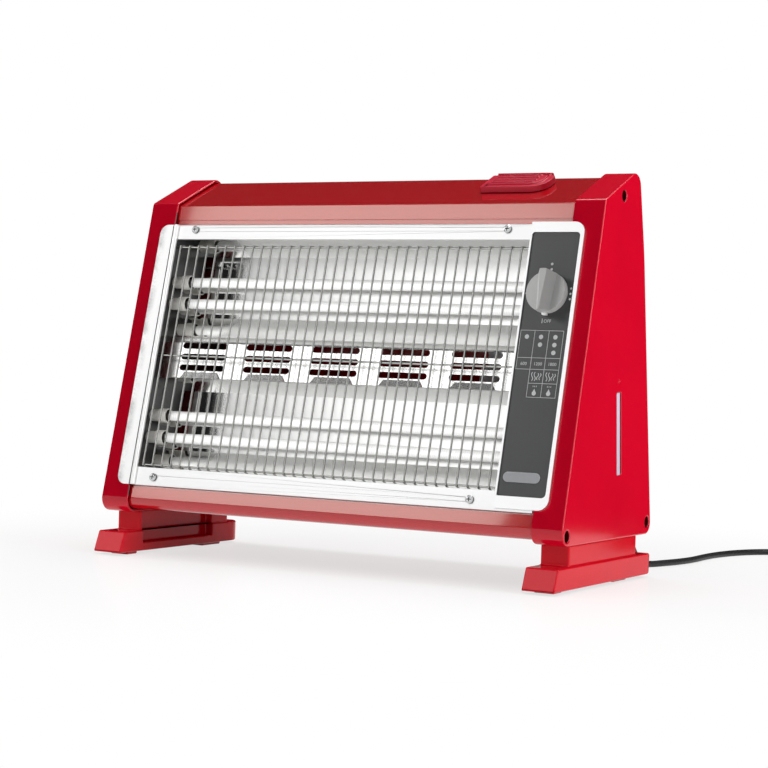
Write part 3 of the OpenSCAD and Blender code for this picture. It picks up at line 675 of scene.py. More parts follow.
@dataclass(frozen=True)
class FiredCeramic(Finish):
    """Matte fired ceramic with specks, and painted shade inside its mouths.

    Attributes:
        axes: Y and Z of the tubes' axes.
        mouth_r: Radius inside which the mouths get painted shade.
        mouths: Stretches along X in which the mouths lie.
        mouth_shade: Colour of the painted shade in the mouths.
    """

    axes: Tuple[Point2, ...] = (
        (-0.0156, 0.29417),
        (-0.02134, 0.27065),
        (-0.05115, 0.14834),
        (-0.05688, 0.12483),
    )
    mouth_r: float = 0.00688
    mouths: Tuple[Span, Span] = ((-0.2313, -0.2242), (0.1842, 0.1913))
    mouth_shade: Colour = (0.03, 0.028, 0.025)

    def fill(self, graph: Graph) -> None:
        """Fill the graph: specks, pores and painted shade in the mouths.

        Args:
            graph: Empty graph of the material.
        """
        x = graph.place()[0]
        speck = graph.noise(1500.0).step(0.62, 0.72)
        body = graph.noise(160.0, 3.0)
        base = graph.blend(body, self.shade(0.9), self.shade(1.06))
        tint = graph.blend(0.45 * speck, base, self.shade(0.5))
        along = x.between(*self.mouths[0]) + x.between(*self.mouths[1])
        # Painted shade: inside the mouths round the tubes the ceramic turns nearly black.
        graph.surface(
            graph.blend(graph.rods(self.axes, self.mouth_r) * along, tint, self.mouth_shade),
            0.62 + 0.15 * body,
            normal=graph.bump(body - 0.3 * speck, 0.3, 0.25),
        )


@dataclass(frozen=True)
class MouldedSatin(Finish):
    """Satin or matte plastic with a spark-eroded grain."""

    gloss: float = 0.42
    grain: float = 0.2
    reflect: float = 0.4
    dark: float = 0.88

    def fill(self, graph: Graph) -> None:
        """Fill the graph: grain in the surface, soft clouds in the colour.

        Args:
            graph: Empty graph of the material.
        """
        grain = graph.noise(1700.0)
        cloud = graph.noise(30.0)
        tint = graph.blend(0.6 * cloud + 0.4 * grain, self.shade(self.dark), self.shade(1.1))
        graph.surface(
            self.painted(graph, tint),
            self.gloss + 0.1 * grain,
            reflect=self.reflect,
            normal=graph.bump(grain, self.grain, 0.12),
        )


@dataclass(frozen=True)
class KnobPlastic(MouldedSatin):
    """Satin plastic of the knob, with its pointer painted white.

    Attributes:
        dark: Darkest shade of the clouds.
        middle: Point on the knob's axis.
        axis: Direction of the axis.
        rim: Radii over which the paint starts.
        paint: Colour of the paint.
    """

    dark: float = 0.9
    middle: Point3 = (0.22275, -0.052461, 0.286528)
    axis: Point3 = (0.0, 0.971549, -0.236838)
    rim: Span = (0.0204, 0.0207)
    paint: Colour = (0.9, 0.9, 0.89)

    def painted(self, graph: Graph, plain: Signal) -> Signal:
        """Paint the knob white past its rim.

        Args:
            graph: Graph of the material.
            plain: Colour of the plastic.

        Returns:
            The colour.
        """
        place = graph.vector("SUBTRACT", graph.coords(), self.middle)
        around = graph.vector("CROSS_PRODUCT", place, self.axis)
        away = graph.take("ShaderNodeVectorMath", {"operation": "LENGTH"}, {0: around}, "Value")
        return graph.blend(away.step(*self.rim), plain, self.paint)


@dataclass(frozen=True)
class ClearStrip(Finish):
    """Clear moulded strip that shows the pale tank behind it, and painted shade of the cap opening's edge
    beside it.

    Attributes:
        middle: Y and Z of the strip's middle.
        slope: Run of the strip for its rise.
        lift: Heights over which the strip turns paler.
        edge: Distances from the middle over which the painted shade of the opening's edge starts.
        rim: Colour of that painted shade.
    """

    middle: Point2 = (0.023, 0.1505)
    slope: float = 0.0875
    lift: Span = (0.1, 0.2)
    edge: Span = (0.0025, 0.0031)
    rim: Colour = (0.09, 0.012, 0.025)

    def fill(self, graph: Graph) -> None:
        """Fill the graph: a pale body with a slight shift up its height, a glossy face and painted shade
        along one edge.

        Args:
            graph: Empty graph of the material.
        """
        _, y, z = graph.place()
        haze = graph.noise(60.0)
        tint = graph.blend(0.7 * z.step(*self.lift) + 0.3 * haze, self.shade(0.92), self.shade(1.1))
        across = y - self.middle[0] + self.slope * (z - self.middle[1])
        # Painted shade: one long edge of the strip turns dark red.
        graph.surface(
            graph.blend(across.step(*self.edge), tint, self.rim),
            0.08 + 0.08 * haze,
            normal=graph.bump(haze, 0.05, 0.4),
        )


class Finishes:
    """All finishes of the heater."""

    RED_CAP = CapMoulding("red_cap_moulding", (0.62, 0.0015, 0.019), reflect=0.4)
    RED_MOULDING = MouldedGloss("red_moulding", (0.60, 0.003, 0.014))
    RED_FOOT = MouldedGloss("red_foot_moulding", (0.62, 0.002, 0.014), gloss=0.12, reflect=0.16)
    RED_SHEET = Enamel("red_enamel", (0.50, 0.003, 0.008))
    STILE = StileSheet("stile_sheet", (0.93, 0.93, 0.925))
    BRIGHT_FRAME = RolledSheet("bright_frame_sheet", (0.87, 0.87, 0.87), 0.36, 0.02, 0.02)
    REFLECTOR = RolledSheet("reflector_sheet", (0.95, 0.95, 0.94), 0.05, 0.01, 0.02, 0.01, haze=0.28)
    VENT_SHEET = RolledSheet("vent_sheet", (0.94, 0.94, 0.93), 0.24, 0.03, 0.03, 0.01)
    PANEL_SURROUND = RolledSheet("panel_surround", (0.87, 0.87, 0.875), 0.34, 0.02, 0.02)
    # Its colour is much darker than bare zinc: painted shade, so that the reflectors mirror the side plates
    # dark at their ends.
    ZINC_PLATE = GalvanisedSheet("zinc_plate", (0.12, 0.12, 0.12))
    GUARD_WIRE = PlatedMetal("guard_wire", (0.46, 0.46, 0.445), gloss=0.09)
    SCREW_PLATING = PlatedMetal("screw_plating", (0.30, 0.305, 0.31))
    RAIL_SCREW = CrossScrew("rail_screw_plating", (0.52, 0.525, 0.53))
    PIN_PLATING = PlatedMetal("pin_plating", (0.72, 0.66, 0.50), gloss=0.2)
    QUARTZ = MilkyQuartz("milky_quartz", (0.96, 0.96, 0.95))
    WIRE_TURNS = GalvanisedSheet("resistance_wire", (0.34, 0.32, 0.30), gloss=0.5)
    CERAMIC = FiredCeramic("fired_ceramic", (0.80, 0.785, 0.74))
    PANEL_PLATE = MouldedSatin("panel_plate", (0.052, 0.053, 0.054), gloss=0.4, grain=0.1)
    PANEL_INK = MouldedSatin("panel_ink", (0.70, 0.71, 0.72), gloss=0.5, grain=0.05)
    BADGE_PLATE = MouldedSatin("badge_plate", (0.46, 0.47, 0.49), gloss=0.34, grain=0.06)
    KNOB = KnobPlastic("knob_plastic", (0.42, 0.42, 0.415), gloss=0.34, grain=0.14)
    FLAG = MouldedSatin("dark_card", (0.01, 0.01, 0.01), gloss=0.9, reflect=0.0)
    GREY_FLAG = MouldedSatin("grey_card", (0.03, 0.03, 0.03), gloss=0.9, reflect=0.0)
    BLACK_PLASTIC = MouldedSatin("black_plastic", (0.018, 0.018, 0.019), gloss=0.4)
    WHITE_PLASTIC = MouldedSatin("white_plastic", (0.80, 0.80, 0.78), gloss=0.4)
    TANK = MouldedGloss("tank_plastic", (0.78, 0.79, 0.82), gloss=0.28)
    WINDOW = ClearStrip("clear_strip", (0.58, 0.54, 0.66))
    CORD = MouldedSatin("cord_sheath", (0.012, 0.012, 0.013), gloss=0.44, grain=0.12)


@dataclass(frozen=True)
class Rounding:
    """Rounding of the sharp edges of a solid.

    Attributes:
        width_mm: Width of the rounding.
        segments: Steps across it.
        merge_mm: Distance under which corners are joined.
        whole: Whether faces are joined first, so that short edges don't hold the rounding back.
        angle: Least angle between faces that is rounded, in degrees.
        flat: Angle under which faces are joined, in degrees.
    """

    width_mm: float
    segments: int = 2
    merge_mm: float = 0.001
    whole: bool = False
    angle: float = 32.0
    flat: float = 0.4

    def apply(self, piece: bpy.types.Object) -> None:
        """Add the modifiers that close, round and smooth a solid.

        Args:
            piece: Object that gets them.
        """
        weld = piece.modifiers.new("close", "WELD")
        weld.merge_threshold = self.merge_mm * MM
        if self.whole:
            flat = piece.modifiers.new("flat", "DECIMATE")
            flat.decimate_type = "DISSOLVE"
            flat.angle_limit = radians(self.flat)
        bevel = piece.modifiers.new("round", "BEVEL")
        bevel.width = self.width_mm * MM
        bevel.segments = self.segments
        bevel.limit_method = "ANGLE"
        bevel.angle_limit = radians(self.angle)
        bevel.use_clamp_overlap = not self.whole
        bevel.miter_outer = "MITER_ARC"
        smooth = piece.modifiers.new("smooth", "WEIGHTED_NORMAL")
        smooth.weight = 60
        smooth.keep_sharp = False


@dataclass
class Dresser:
    """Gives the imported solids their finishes."""

    solids: Mapping[str, bpy.types.Object]

    def dress(self, nodes: Sequence[str], finish: Finish, rounding: Optional[Rounding] = None) -> None:
        """Give solids a finish and rounded edges.

        Args:
            nodes: Names of the solids.
            finish: Finish that they get.
            rounding: Rounding of their edges, if any.
        """
        material = finish.material()
        for name in nodes:
            piece = self.solids[name]
            if not piece.material_slots:
                piece.data.materials.append(material)
            for place in piece.material_slots:
                place.material = material
            if rounding is not None:
                rounding.apply(piece)
            LOG.info("dressed %s with %s", name, finish.name)


@dataclass(frozen=True)
class Stand:
    """Something flat that stands around the heater.

    Attributes:
        name: Its name.
        place: Its middle.
        aim: Point that it faces.
        size: Width and height.
    """

    name: str
    place: Point3
    aim: Point3
    size: Point2

    def put(self, data: Any) -> bpy.types.Object:
        """Put it into the scene and turn it to its aim.

        Args:
            data: Its lamp or mesh.

        Returns:
            The object.
        """
        made = to_scene(self.name, data)
        made.rotation_mode = "QUATERNION"
        made.rotation_quaternion = (Vector(self.aim) - Vector(self.place)).to_track_quat("-Z", "Y")
        made.location = self.place
        return made


@dataclass(frozen=True)
class SoftBox(Stand):
    """Soft rectangular lamp.

    Attributes:
        level: Brightness of its face, where 1 is white.
        pieces: Pieces that it names; a lamp that names none lights all.
        reach: Whether it lights only the named pieces or spares them.
        tint: Colour of its light.
    """

    level: float
    pieces: Names = ()
    reach: Reach = Reach.ONLY
    tint: Colour = WHITE

    @classmethod
    def mirrored(
        cls, name: str, edges: Edges, level: float, pieces: Names, tint: Colour = WHITE
    ) -> "SoftBox":
        """Soft box on the plane that the leaning front mirrors to the camera.

        Args:
            name: Name of the lamp.
            edges: Left, right, lower and upper edge, from the middle of the plane.
            level: Brightness of its face.
            pieces: The only pieces that it lights.
            tint: Colour of its light.

        Returns:
            The soft box.
        """
        left, right, low, high = edges
        across, rise = Vector((-0.875, 0.485, 0.0)), Vector((0.220, 0.397, 0.891))
        shift = across * ((left + right) / 2.0) + rise * ((low + high) / 2.0)
        place = Vector((-0.864, -1.619, 1.128)) + shift
        aim = Vector((0.0, -0.06, 0.22)) + shift
        size = (left - right, high - low)
        return cls(name, tuple(place), tuple(aim), size, level, pieces, tint=tint)

    def build(self, solids: Mapping[str, bpy.types.Object]) -> None:
        """Make the lamp.

        Args:
            solids: Objects by name, to find those that it names.
        """
        data = bpy.data.lights.new(self.name, "AREA")
        data.shape = "RECTANGLE"
        data.size, data.size_y = self.size
        data.energy = self.level * math.pi * self.size[0] * self.size[1]
        data.color = self.tint
        lamp = self.put(data)
        if self.pieces:
            group = bpy.data.collections.new(self.name + "_pieces")
            for name in self.pieces:
                group.objects.link(solids[name])
            for member in group.collection_objects:
                member.light_linking.link_state = self.reach.value
            lamp.light_linking.receiver_collection = group


@dataclass(frozen=True)
class DarkCard(Stand):
    """Dark card that only mirroring surfaces see.

    Attributes:
        finish: Its finish.
    """

    finish: Finish = Finishes.FLAG

    def build(self) -> None:
        """Make the card."""
        half_w, half_h = self.size[0] / 2.0, self.size[1] / 2.0
        low = [(-half_w, -half_h, 0.0), (half_w, -half_h, 0.0)]
        high = [(half_w, half_h, 0.0), (-half_w, half_h, 0.0)]
        mesh = bpy.data.meshes.new(self.name)
        mesh.from_pydata(low + high, [], [(0, 1, 2, 3)])
        card = self.put(mesh)
        for rays in ("camera", "diffuse", "shadow", "transmission", "volume_scatter"):
            setattr(card, f"visible_{rays}", False)
        card.data.materials.append(self.finish.material())


TUBES = tuple(f"quartz_tube_{number}" for number in range(1, 5))
PALE = (*TUBES, "ceramic_ends")
FRAME = ("top_rail", "bottom_rail", "control_fascia", "rail_screws")
TROUGHS = ("upper_reflector", "lower_reflector")
VENTS = ("vent_plate", "guard_grille")
BANDS = ("top_cover", "bottom_cover")
FEET = ("left_foot", "right_foot")
PANEL = ("knob", "control_plate")
LEFT_SPARED = ("top_cover", "rear_cover", "bottom_cover", "tank_lid", "guard_grille")
RIGHT_SPARED = ("knob", *LEFT_SPARED)
WARM = (1.0, 0.93, 0.85)


@dataclass
class Studio:
    """Camera, floor, lamps, dark cards and background.

    Attributes:
        eye: Place of the camera, in millimetres.
        yaw: Turn of the camera to the left of straight ahead, in degrees.
        pitch: Look down, in degrees.
        roll: Roll of the picture, in degrees.
        lens: Focal length for a 36 mm sensor.
        ambient: Even light of the room, where 1 is white.
        floor_half: Half the width of the floor.
        floor_cells: Cells along each side of the floor.
        floor_white: Colour of the floor.
        floor_gloss: Roughness of the floor.
        floor_glow: Share of plain white in the floor under the heater.
        floor_mid: Y of the point round which the floor fades.
        floor_fade: Distances from it over which the floor turns plain white.
        lamps: Soft boxes: five that the front mirrors, four for the feet, the tubes and the panel, then
            those on the left, behind, on the right, above and for the floor.
        cards: Dark cards: on three sides, round the front soft boxes, by the right end, behind the top.
    """

    eye: Point3 = (1053.69, -1871.72, 222.22)
    yaw: float = 29.0945
    pitch: float = 0.8250
    roll: float = 1.8527
    lens: float = 95.685
    ambient: float = 0.16
    floor_half: float = 9.0
    floor_cells: int = 8
    floor_white: float = 0.86
    floor_gloss: float = 0.28
    floor_glow: float = 0.68
    floor_mid: float = 0.05
    floor_fade: Span = (0.25, 0.8)
    lamps: Tuple[SoftBox, ...] = (
        SoftBox.mirrored("front_box", (0.24, -0.42, -0.60, 0.46), 2.5, TROUGHS),
        SoftBox.mirrored("vent_box", (0.85, -0.42, -0.60, 0.42), 2.0, VENTS),
        SoftBox.mirrored("frame_box", (0.95, -0.75, -0.66, 0.75), 1.38, FRAME),
        SoftBox.mirrored("stile_box", (0.95, -0.75, -0.66, 0.75), 1.62, ("left_stile",)),
        SoftBox.mirrored("band_box", (0.505, -0.262, -0.56, 0.30), 4.8, BANDS, WARM),
        SoftBox("foot_box", (-0.95, -1.45, 1.03), (0.0, -0.1, 0.02), (1.5, 0.7), 4.0, FEET),
        SoftBox("pale_box", (-0.45, -1.30, 0.42), (0.0, -0.05, 0.22), (1.3, 1.0), 3.0, PALE),
        SoftBox("low_box", (-0.1, -0.95, 0.06), (0.0, -0.05, 0.22), (1.2, 0.3), 6.2, PALE),
        SoftBox("knob_box", (-0.95, -0.85, 0.95), (0.22, -0.08, 0.29), (0.45, 0.45), 23.0, PANEL),
        SoftBox(
            "left_box", (-1.95, 0.40, 0.75), (-0.27, 0.0, 0.2), (1.3, 1.4), 4.2, LEFT_SPARED, Reach.SPARE
        ),
        SoftBox("back_box", (0.0, 2.2, 1.3), (0.0, 0.1, 0.2), (1.2, 1.0), 3.0),
        SoftBox(
            "right_box", (1.95, -0.20, 0.75), (0.27, 0.0, 0.2), (1.3, 1.4), 4.2, RIGHT_SPARED, Reach.SPARE
        ),
        SoftBox("top_box", (0.2, 0.35, 2.0), (0.0, 0.05, 0.2), (1.6, 1.2), 4.9),
        SoftBox("floor_box", (-0.2, -1.4, 2.2), (0.0, 0.1, 0.0), (2.4, 2.0), 2.4, ("floor",)),
    )
    cards: Tuple[DarkCard, ...] = (
        DarkCard("left_side_flag", (-2.2, 0.0, 0.9), (0.0, 0.0, 0.9), (2.6, 2.0)),
        DarkCard("right_side_flag", (2.5, 0.0, 0.9), (0.0, 0.0, 0.9), (2.6, 2.0)),
        DarkCard("back_flag", (0.0, 2.4, 0.9), (0.0, 0.0, 0.9), (5.4, 2.2)),
        DarkCard("front_flag", (-0.818, -1.535, 1.865), (0.154, 0.218, 0.843), (3.4, 3.0)),
        DarkCard("right_flag", (0.562, 0.524, 0.46), (0.27, 0.0, 0.46), (1.3, 0.96)),
        DarkCard("top_flag", (-0.78, 1.03, 1.36), (0.0, 0.01, 0.40), (2.4, 1.5), Finishes.GREY_FLAG),
    )

    def camera(self) -> None:
        """Place the camera at the photograph's viewpoint."""
        yaw, pitch, roll = radians(self.yaw), radians(self.pitch), radians(self.roll)
        ahead = Vector((-sin(yaw) * cos(pitch), cos(yaw) * cos(pitch), -sin(pitch)))
        right = Vector((cos(yaw), sin(yaw), 0.0))
        up = right.cross(ahead)
        rolled_right = right * cos(roll) + up * sin(roll)
        rolled_up = up * cos(roll) - right * sin(roll)
        lens = bpy.data.cameras.new("photo_camera")
        lens.sensor_width = 36.0
        lens.lens = self.lens
        lens.clip_start = 0.05
        lens.clip_end = 60.0
        camera = to_scene("photo_camera", lens)
        turn = Matrix((rolled_right, rolled_up, -ahead)).transposed().to_4x4()
        camera.matrix_world = Matrix.Translation(metres(self.eye)) @ turn
        bpy.context.scene.camera = camera

    def background(self) -> None:
        """White background, and the even light of a bright room."""
        scene = bpy.context.scene
        scene.world = bpy.data.worlds.new("studio")
        scene.world.use_nodes = True
        graph = Graph(scene.world.node_tree)
        strength = self.ambient + graph.seen() * (1.0 - self.ambient)
        light = graph.take("ShaderNodeBackground", {}, {"Color": WHITE, "Strength": strength})
        graph.node("ShaderNodeOutputWorld", {}, {"Surface": light})
        scene.view_settings.view_transform = "Standard"

    def floor(self) -> bpy.types.Object:
        """Pale floor that keeps the shadow and runs into the white background.

        Returns:
            The floor.
        """
        mesh = bpy.data.meshes.new("floor")
        shape = bmesh.new()
        cells = self.floor_cells
        bmesh.ops.create_grid(shape, x_segments=cells, y_segments=cells, size=self.floor_half)
        shape.to_mesh(mesh)
        shape.free()
        floor = to_scene("floor", mesh)
        material = bpy.data.materials.new("pale_floor")
        material.use_nodes = True
        graph = Graph(material.node_tree)
        x, y, _ = graph.place()
        away = (x * x + (y - self.floor_mid) * (y - self.floor_mid)) ** 0.5
        glow = self.floor_glow + away.step(*self.floor_fade) * (1.0 - self.floor_glow)
        pale = {"Base Color": (self.floor_white,) * 3, "Roughness": self.floor_gloss}
        paint = graph.take("ShaderNodeBsdfPrincipled", {}, pale)
        white = graph.take("ShaderNodeEmission", {}, {"Color": WHITE, "Strength": 1.0})
        mixed = graph.take("ShaderNodeMixShader", {}, {0: glow * graph.seen(), 1: paint, 2: white})
        graph.node("ShaderNodeOutputMaterial", {}, {"Surface": mixed})
        floor.data.materials.append(material)
        return floor

    def build(self, solids: Mapping[str, bpy.types.Object]) -> None:
        """Set up everything but the camera.

        Args:
            solids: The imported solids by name, for the lamps.
        """
        self.background()
        named = {**solids, "floor": self.floor()}
        for lamp in self.lamps:
            lamp.build(named)
        for card in self.cards:
            card.build()
        LOG.info("studio ready")


@dataclass
class PowerLead:
    """Cord with its gland, coil, tie and plug.

    Attributes:
        diameter: Diameter of the cord.
        gland_end: Where the cord leaves its gland.
        gland_way: Direction in which it leaves.
        route: Points on the way from the gland to the coil.
        coil_mid: Middle of the coil on the floor.
        coil_r: Radius of its first turn.
        coil_step: Pull towards the middle in one turn.
        coil_turn: Turning of the whole coil, in degrees.
        coil_start: Angle at which the coil starts, in degrees.
        coil_z: Height of the first layer.
        layer_z: Height of the second layer over the first.
        plug_z: Height of the plug's axis.
        climb: Turning before the coil's middle at which it climbs, and in which, in degrees.
        lift: Turning before the coil's end at which it rises to the plug, and in which, in degrees.
        straight: Distances of the points straight out of the gland.
        run_in: Distances of the points straight into the coil.
        rings: Points in one turn.
    """

    diameter: float = 7.0
    gland_end: Point3 = (222.0, 132.773, 73.506)
    gland_way: Point3 = (0.0, 0.98927, 0.14608)
    route: Tuple[Point3, ...] = (
        (222.0, 158.0, 68.0),
        (222.0, 170.0, 48.0),
        (223.0, 182.0, 24.0),
        (226.0, 196.0, 8.5),
        (231.0, 212.0, 3.6),
        (240.0, 236.0, 3.6),
        (247.0, 266.0, 3.6),
        (250.0, 300.0, 3.6),
        (249.0, 340.0, 3.6),
        (251.0, 378.0, 3.6),
        (259.0, 416.0, 3.6),
        (275.0, 446.0, 3.8),
        (301.0, 464.0, 4.4),
    )
    coil_mid: Point2 = (352.0, 430.0)
    coil_r: float = 46.0
    coil_step: float = 7.6
    coil_turn: float = 1540.0
    coil_start: float = 100.0
    coil_z: float = 5.0
    layer_z: float = 7.6
    plug_z: float = 19.2
    climb: Span = (90.0, 180.0)
    lift: Span = (150.0, 140.0)
    straight: Triple = (0.0, 4.0, 8.0)
    run_in: Triple = (10.0, 5.0, 0.0)
    rings: int = 24

    @staticmethod
    def ease(value: float) -> float:
        """Smooth rise from 0 to 1."""
        part = min(max(value, 0.0), 1.0)
        return part * part * (3.0 - 2.0 * part)

    def coil_point(self, turn: float) -> Vector:
        """Point of the coil after some turning.

        Args:
            turn: Turning since the coil's start, in degrees.

        Returns:
            The point in millimetres.
        """
        half = self.coil_turn / 2.0
        angle = radians(self.coil_start - turn)
        radius = self.coil_r - self.coil_step * (half - abs(turn - half)) / 360.0
        layer = self.layer_z * self.ease((turn - half + self.climb[0]) / self.climb[1])
        rise = self.plug_z - self.coil_z - self.layer_z
        last = rise * self.ease((turn - self.coil_turn + self.lift[0]) / self.lift[1])
        height = self.coil_z + layer + last
        return Vector((*self.coil_mid, height)) + Vector((cos(angle), sin(angle), 0.0)) * radius

    def points(self) -> List[Vector]:
        """All points of the cord's middle line.

        Returns:
            The points in millimetres, from the gland to the plug.
        """
        start, way = Vector(self.gland_end), Vector(self.gland_way)
        begin = radians(self.coil_start)
        way_in = Vector((sin(begin), -cos(begin), 0.0))
        first = self.coil_point(0.0) - way_in * self.diameter
        steps = round(self.coil_turn * self.rings / 360.0)
        line = [start + way * ahead for ahead in self.straight]
        line += [Vector(point) for point in self.route]
        line += [first - way_in * back for back in self.run_in]
        line += [self.coil_point(step * self.coil_turn / steps) for step in range(steps + 1)]
        line.append(line[-1] + Vector((0.0, -1.0, 0.0)) * self.diameter)
        return line

    def build(self, dresser: Dresser) -> None:
        """Lay the cord and dress what is on it.

        Args:
            dresser: Gives the solids their finishes.
        """
        line = [point * MM for point in self.points()]
        curve = bpy.data.curves.new("power_lead", "CURVE")
        curve.dimensions = "3D"
        curve.bevel_depth = self.diameter / 2.0 * MM
        curve.bevel_resolution = 5
        curve.resolution_u = 4
        curve.use_fill_caps = True
        spline = curve.splines.new("BEZIER")
        spline.bezier_points.add(len(line) - 1)
        for index, (knot, point) in enumerate(zip(spline.bezier_points, line)):
            tangent = (line[min(index + 1, len(line) - 1)] - line[max(index - 1, 0)]) / 6.0
            knot.handle_left_type = knot.handle_right_type = "FREE"
            knot.co = point
            knot.handle_left = point - tangent
            knot.handle_right = point + tangent
        lead = to_scene("power_lead", curve)
        curve.materials.append(Finishes.CORD.material())
        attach(lead, Body.HOUSING.value)
        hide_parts("power_cord", "cord_coil")
        dresser.dress(["cord_gland", "cord_tie"], Finishes.BLACK_PLASTIC, Rounding(0.4))
        dresser.dress(["plug_body"], Finishes.CORD, Rounding(1.2, 3))
        dresser.dress(["plug_pins"], Finishes.PIN_PLATING, Rounding(1.0, 3))


@dataclass
class Housing:
    """End caps, folded covers, feet and the plates that carry them."""

    edge: Rounding = Rounding(1.6, 3, whole=True)
    foot_edge: Rounding = Rounding(1.4, 3, merge_mm=0.02, whole=True)
    fold: Rounding = Rounding(0.5)

    def build(self, dresser: Dresser) -> None:
        """Dress the housing.

        Args:
            dresser: Gives the solids their finishes.
        """
        dresser.dress(["left_end_cap", "right_end_cap"], Finishes.RED_CAP, self.edge)
        dresser.dress(FEET, Finishes.RED_FOOT, self.foot_edge)
        dresser.dress(["top_cover", "rear_cover", "bottom_cover"], Finishes.RED_SHEET, self.fold)
        dresser.dress(["left_side_plate", "right_side_plate", "control_partition"], Finishes.ZINC_PLATE)
        dresser.dress(["cap_screws", "foot_screws"], Finishes.SCREW_PLATING, Rounding(0.25))


@dataclass
class HeatingFront:
    """Bright frame, guard, reflectors, tubes and their ceramic ends."""

    edge: Rounding = Rounding(0.4)

    def build(self, dresser: Dresser) -> None:
        """Dress the heating front.

        Args:
            dresser: Gives the solids their finishes.
        """
        dresser.dress(["left_stile"], Finishes.STILE, self.edge)
        dresser.dress(["top_rail", "bottom_rail"], Finishes.BRIGHT_FRAME, self.edge)
        dresser.dress(TROUGHS, Finishes.REFLECTOR)
        dresser.dress(["vent_plate"], Finishes.VENT_SHEET)
        dresser.dress(["guard_grille"], Finishes.GUARD_WIRE)
        dresser.dress(["rail_screws"], Finishes.RAIL_SCREW, Rounding(0.15))
        dresser.dress(["ceramic_ends"], Finishes.CERAMIC, Rounding(0.8, 3))
        dresser.dress(TUBES, Finishes.QUARTZ)
        dresser.dress(["heating_coils"], Finishes.WIRE_TURNS)
        dresser.dress(["thermal_cutout", "tilt_switch"], Finishes.BLACK_PLASTIC, Rounding(0.3))
        dresser.dress(["terminal_block"], Finishes.WHITE_PLASTIC, self.edge)


@dataclass
class PanelPrint:
    """Flat marks on the control plate, drawn in x and s.

    Attributes:
        face: Depth of the plate's face.
        height: Height of the ink.
        sunk: Depth of the ink's foot in the plate.
        pen: Width of a drawn wave.
        letter: Height of the letters.
        capital: Height of a capital as a share of the font's size.
        drop_turn: Angles at which the round of a drop starts and through which it runs, in degrees.
        drop_tip: Height of a drop's tip in radii.
        sheet: Mesh under construction.
    """

    face: float = -1.8
    height: float = 0.08
    sunk: float = 0.02
    pen: float = 0.7
    letter: float = 3.2
    capital: float = 0.7
    drop_turn: Span = (130.0, 280.0)
    drop_tip: float = 2.1
    sheet: bmesh.types.BMesh = field(default_factory=bmesh.new)

    def stack(self, rings: Sequence[Sequence[Point3]]) -> None:
        """Add a shape of rings, closed over the last one.

        Args:
            rings: Corners of each ring in x, s and d, from the foot up.
        """
        layers = [[self.sheet.verts.new(FRONT.point(*corner)) for corner in ring] for ring in rings]
        self.sheet.faces.new(layers[-1])
        for low, high in zip(layers, layers[1:]):
            for index in range(len(low)):
                after = (index + 1) % len(low)
                self.sheet.faces.new((low[index], low[after], high[after], high[index]))

    def area(self, outline: Sequence[Point2]) -> None:
        """Add a filled shape with a thin edge, from its corners in x and s."""
        depths = (self.face + self.sunk, self.face - self.height)
        self.stack([[(x, s, d) for x, s in outline] for d in depths])

    def disc(self, x: float, s: float, radius: float, sides: int = 24) -> None:
        """Add a round dot."""
        turn = 2.0 * math.pi / sides
        self.area([(x + radius * cos(k * turn), s + radius * sin(k * turn)) for k in range(sides)])

    def bar(self, x0: float, s0: float, x1: float, s1: float) -> None:
        """Add a rectangle between two corners."""
        self.area([(x0, s0), (x1, s0), (x1, s1), (x0, s1)])

    def stroke(self, points: Sequence[Point2], width: float) -> None:
        """Add a line of even width through points.

        Args:
            points: Points in x and s.
            width: Width of the line.
        """
        sides: List[Tuple[Point2, Point2]] = []
        for index, (x, s) in enumerate(points):
            x0, s0 = points[max(index - 1, 0)]
            x1, s1 = points[min(index + 1, len(points) - 1)]
            part = width / 2.0 / math.hypot(x1 - x0, s1 - s0)
            over, up = (s0 - s1) * part, (x1 - x0) * part
            sides.append(((x + over, s + up), (x - over, s - up)))
        for (a, b), (c, d) in zip(sides, sides[1:]):
            self.area([b, d, c, a])

    def drop(self, x: float, s: float, radius: float, steps: int = 22) -> None:
        """Add a water drop with its tip upwards.

        Args:
            x: Middle of its round along the front.
            s: Middle of its round up the lean.
            radius: Radius of its round.
            steps: Corners of its round.
        """
        start, sweep = self.drop_turn
        turns = [radians(start + sweep * k / (steps - 1)) for k in range(steps)]
        rounded = [(x + radius * cos(turn), s + radius * sin(turn)) for turn in turns]
        self.area(rounded + [(x, s + self.drop_tip * radius)])

    def wave(self, x: float, s: float, height: float, swing: float, steps: int = 12) -> None:
        """Add one rising wave of warm air."""
        parts = [k / steps for k in range(steps + 1)]
        self.stroke([(x + swing * sin(2.0 * math.pi * part), s + height * part) for part in parts], self.pen)

    def words(self, text: str, x: float, s: float) -> None:
        """Add a number or a switch word.

        Args:
            text: What is printed.
            x: Middle along the front.
            s: Foot of the letters.
        """
        half = self.height / 2.0
        curve = bpy.data.curves.new("print", "FONT")
        curve.body = text
        curve.align_x = "CENTER"
        curve.size = self.letter / self.capital * MM
        curve.extrude = half * MM
        curve.resolution_u = 4
        stand_in = to_scene("print", curve)
        graph = bpy.context.evaluated_depsgraph_get()
        mesh = bpy.data.meshes.new_from_object(stand_in.evaluated_get(graph))
        mesh.transform(FRONT.matrix(x, s, self.face - half))
        self.sheet.from_mesh(mesh)
        bpy.data.objects.remove(stand_in)
        bpy.data.meshes.remove(mesh)
        bpy.data.curves.remove(curve)

    def build(self, name: str, finish: Finish, slot: str) -> None:
        """Make a piece of the drawing, dress it and let it ride on the housing.

        Args:
            name: Name of the piece.
            finish: Its finish.
            slot: Material slot of the record; not used.
        """
        bmesh.ops.recalc_face_normals(self.sheet, faces=self.sheet.faces)
        mesh = bpy.data.meshes.new(name)
        self.sheet.to_mesh(mesh)
        self.sheet.free()
        piece = to_scene(name, mesh)
        mesh.materials.append(finish.material())
        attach(piece, Body.HOUSING.value)
        LOG.info("made %s", name)


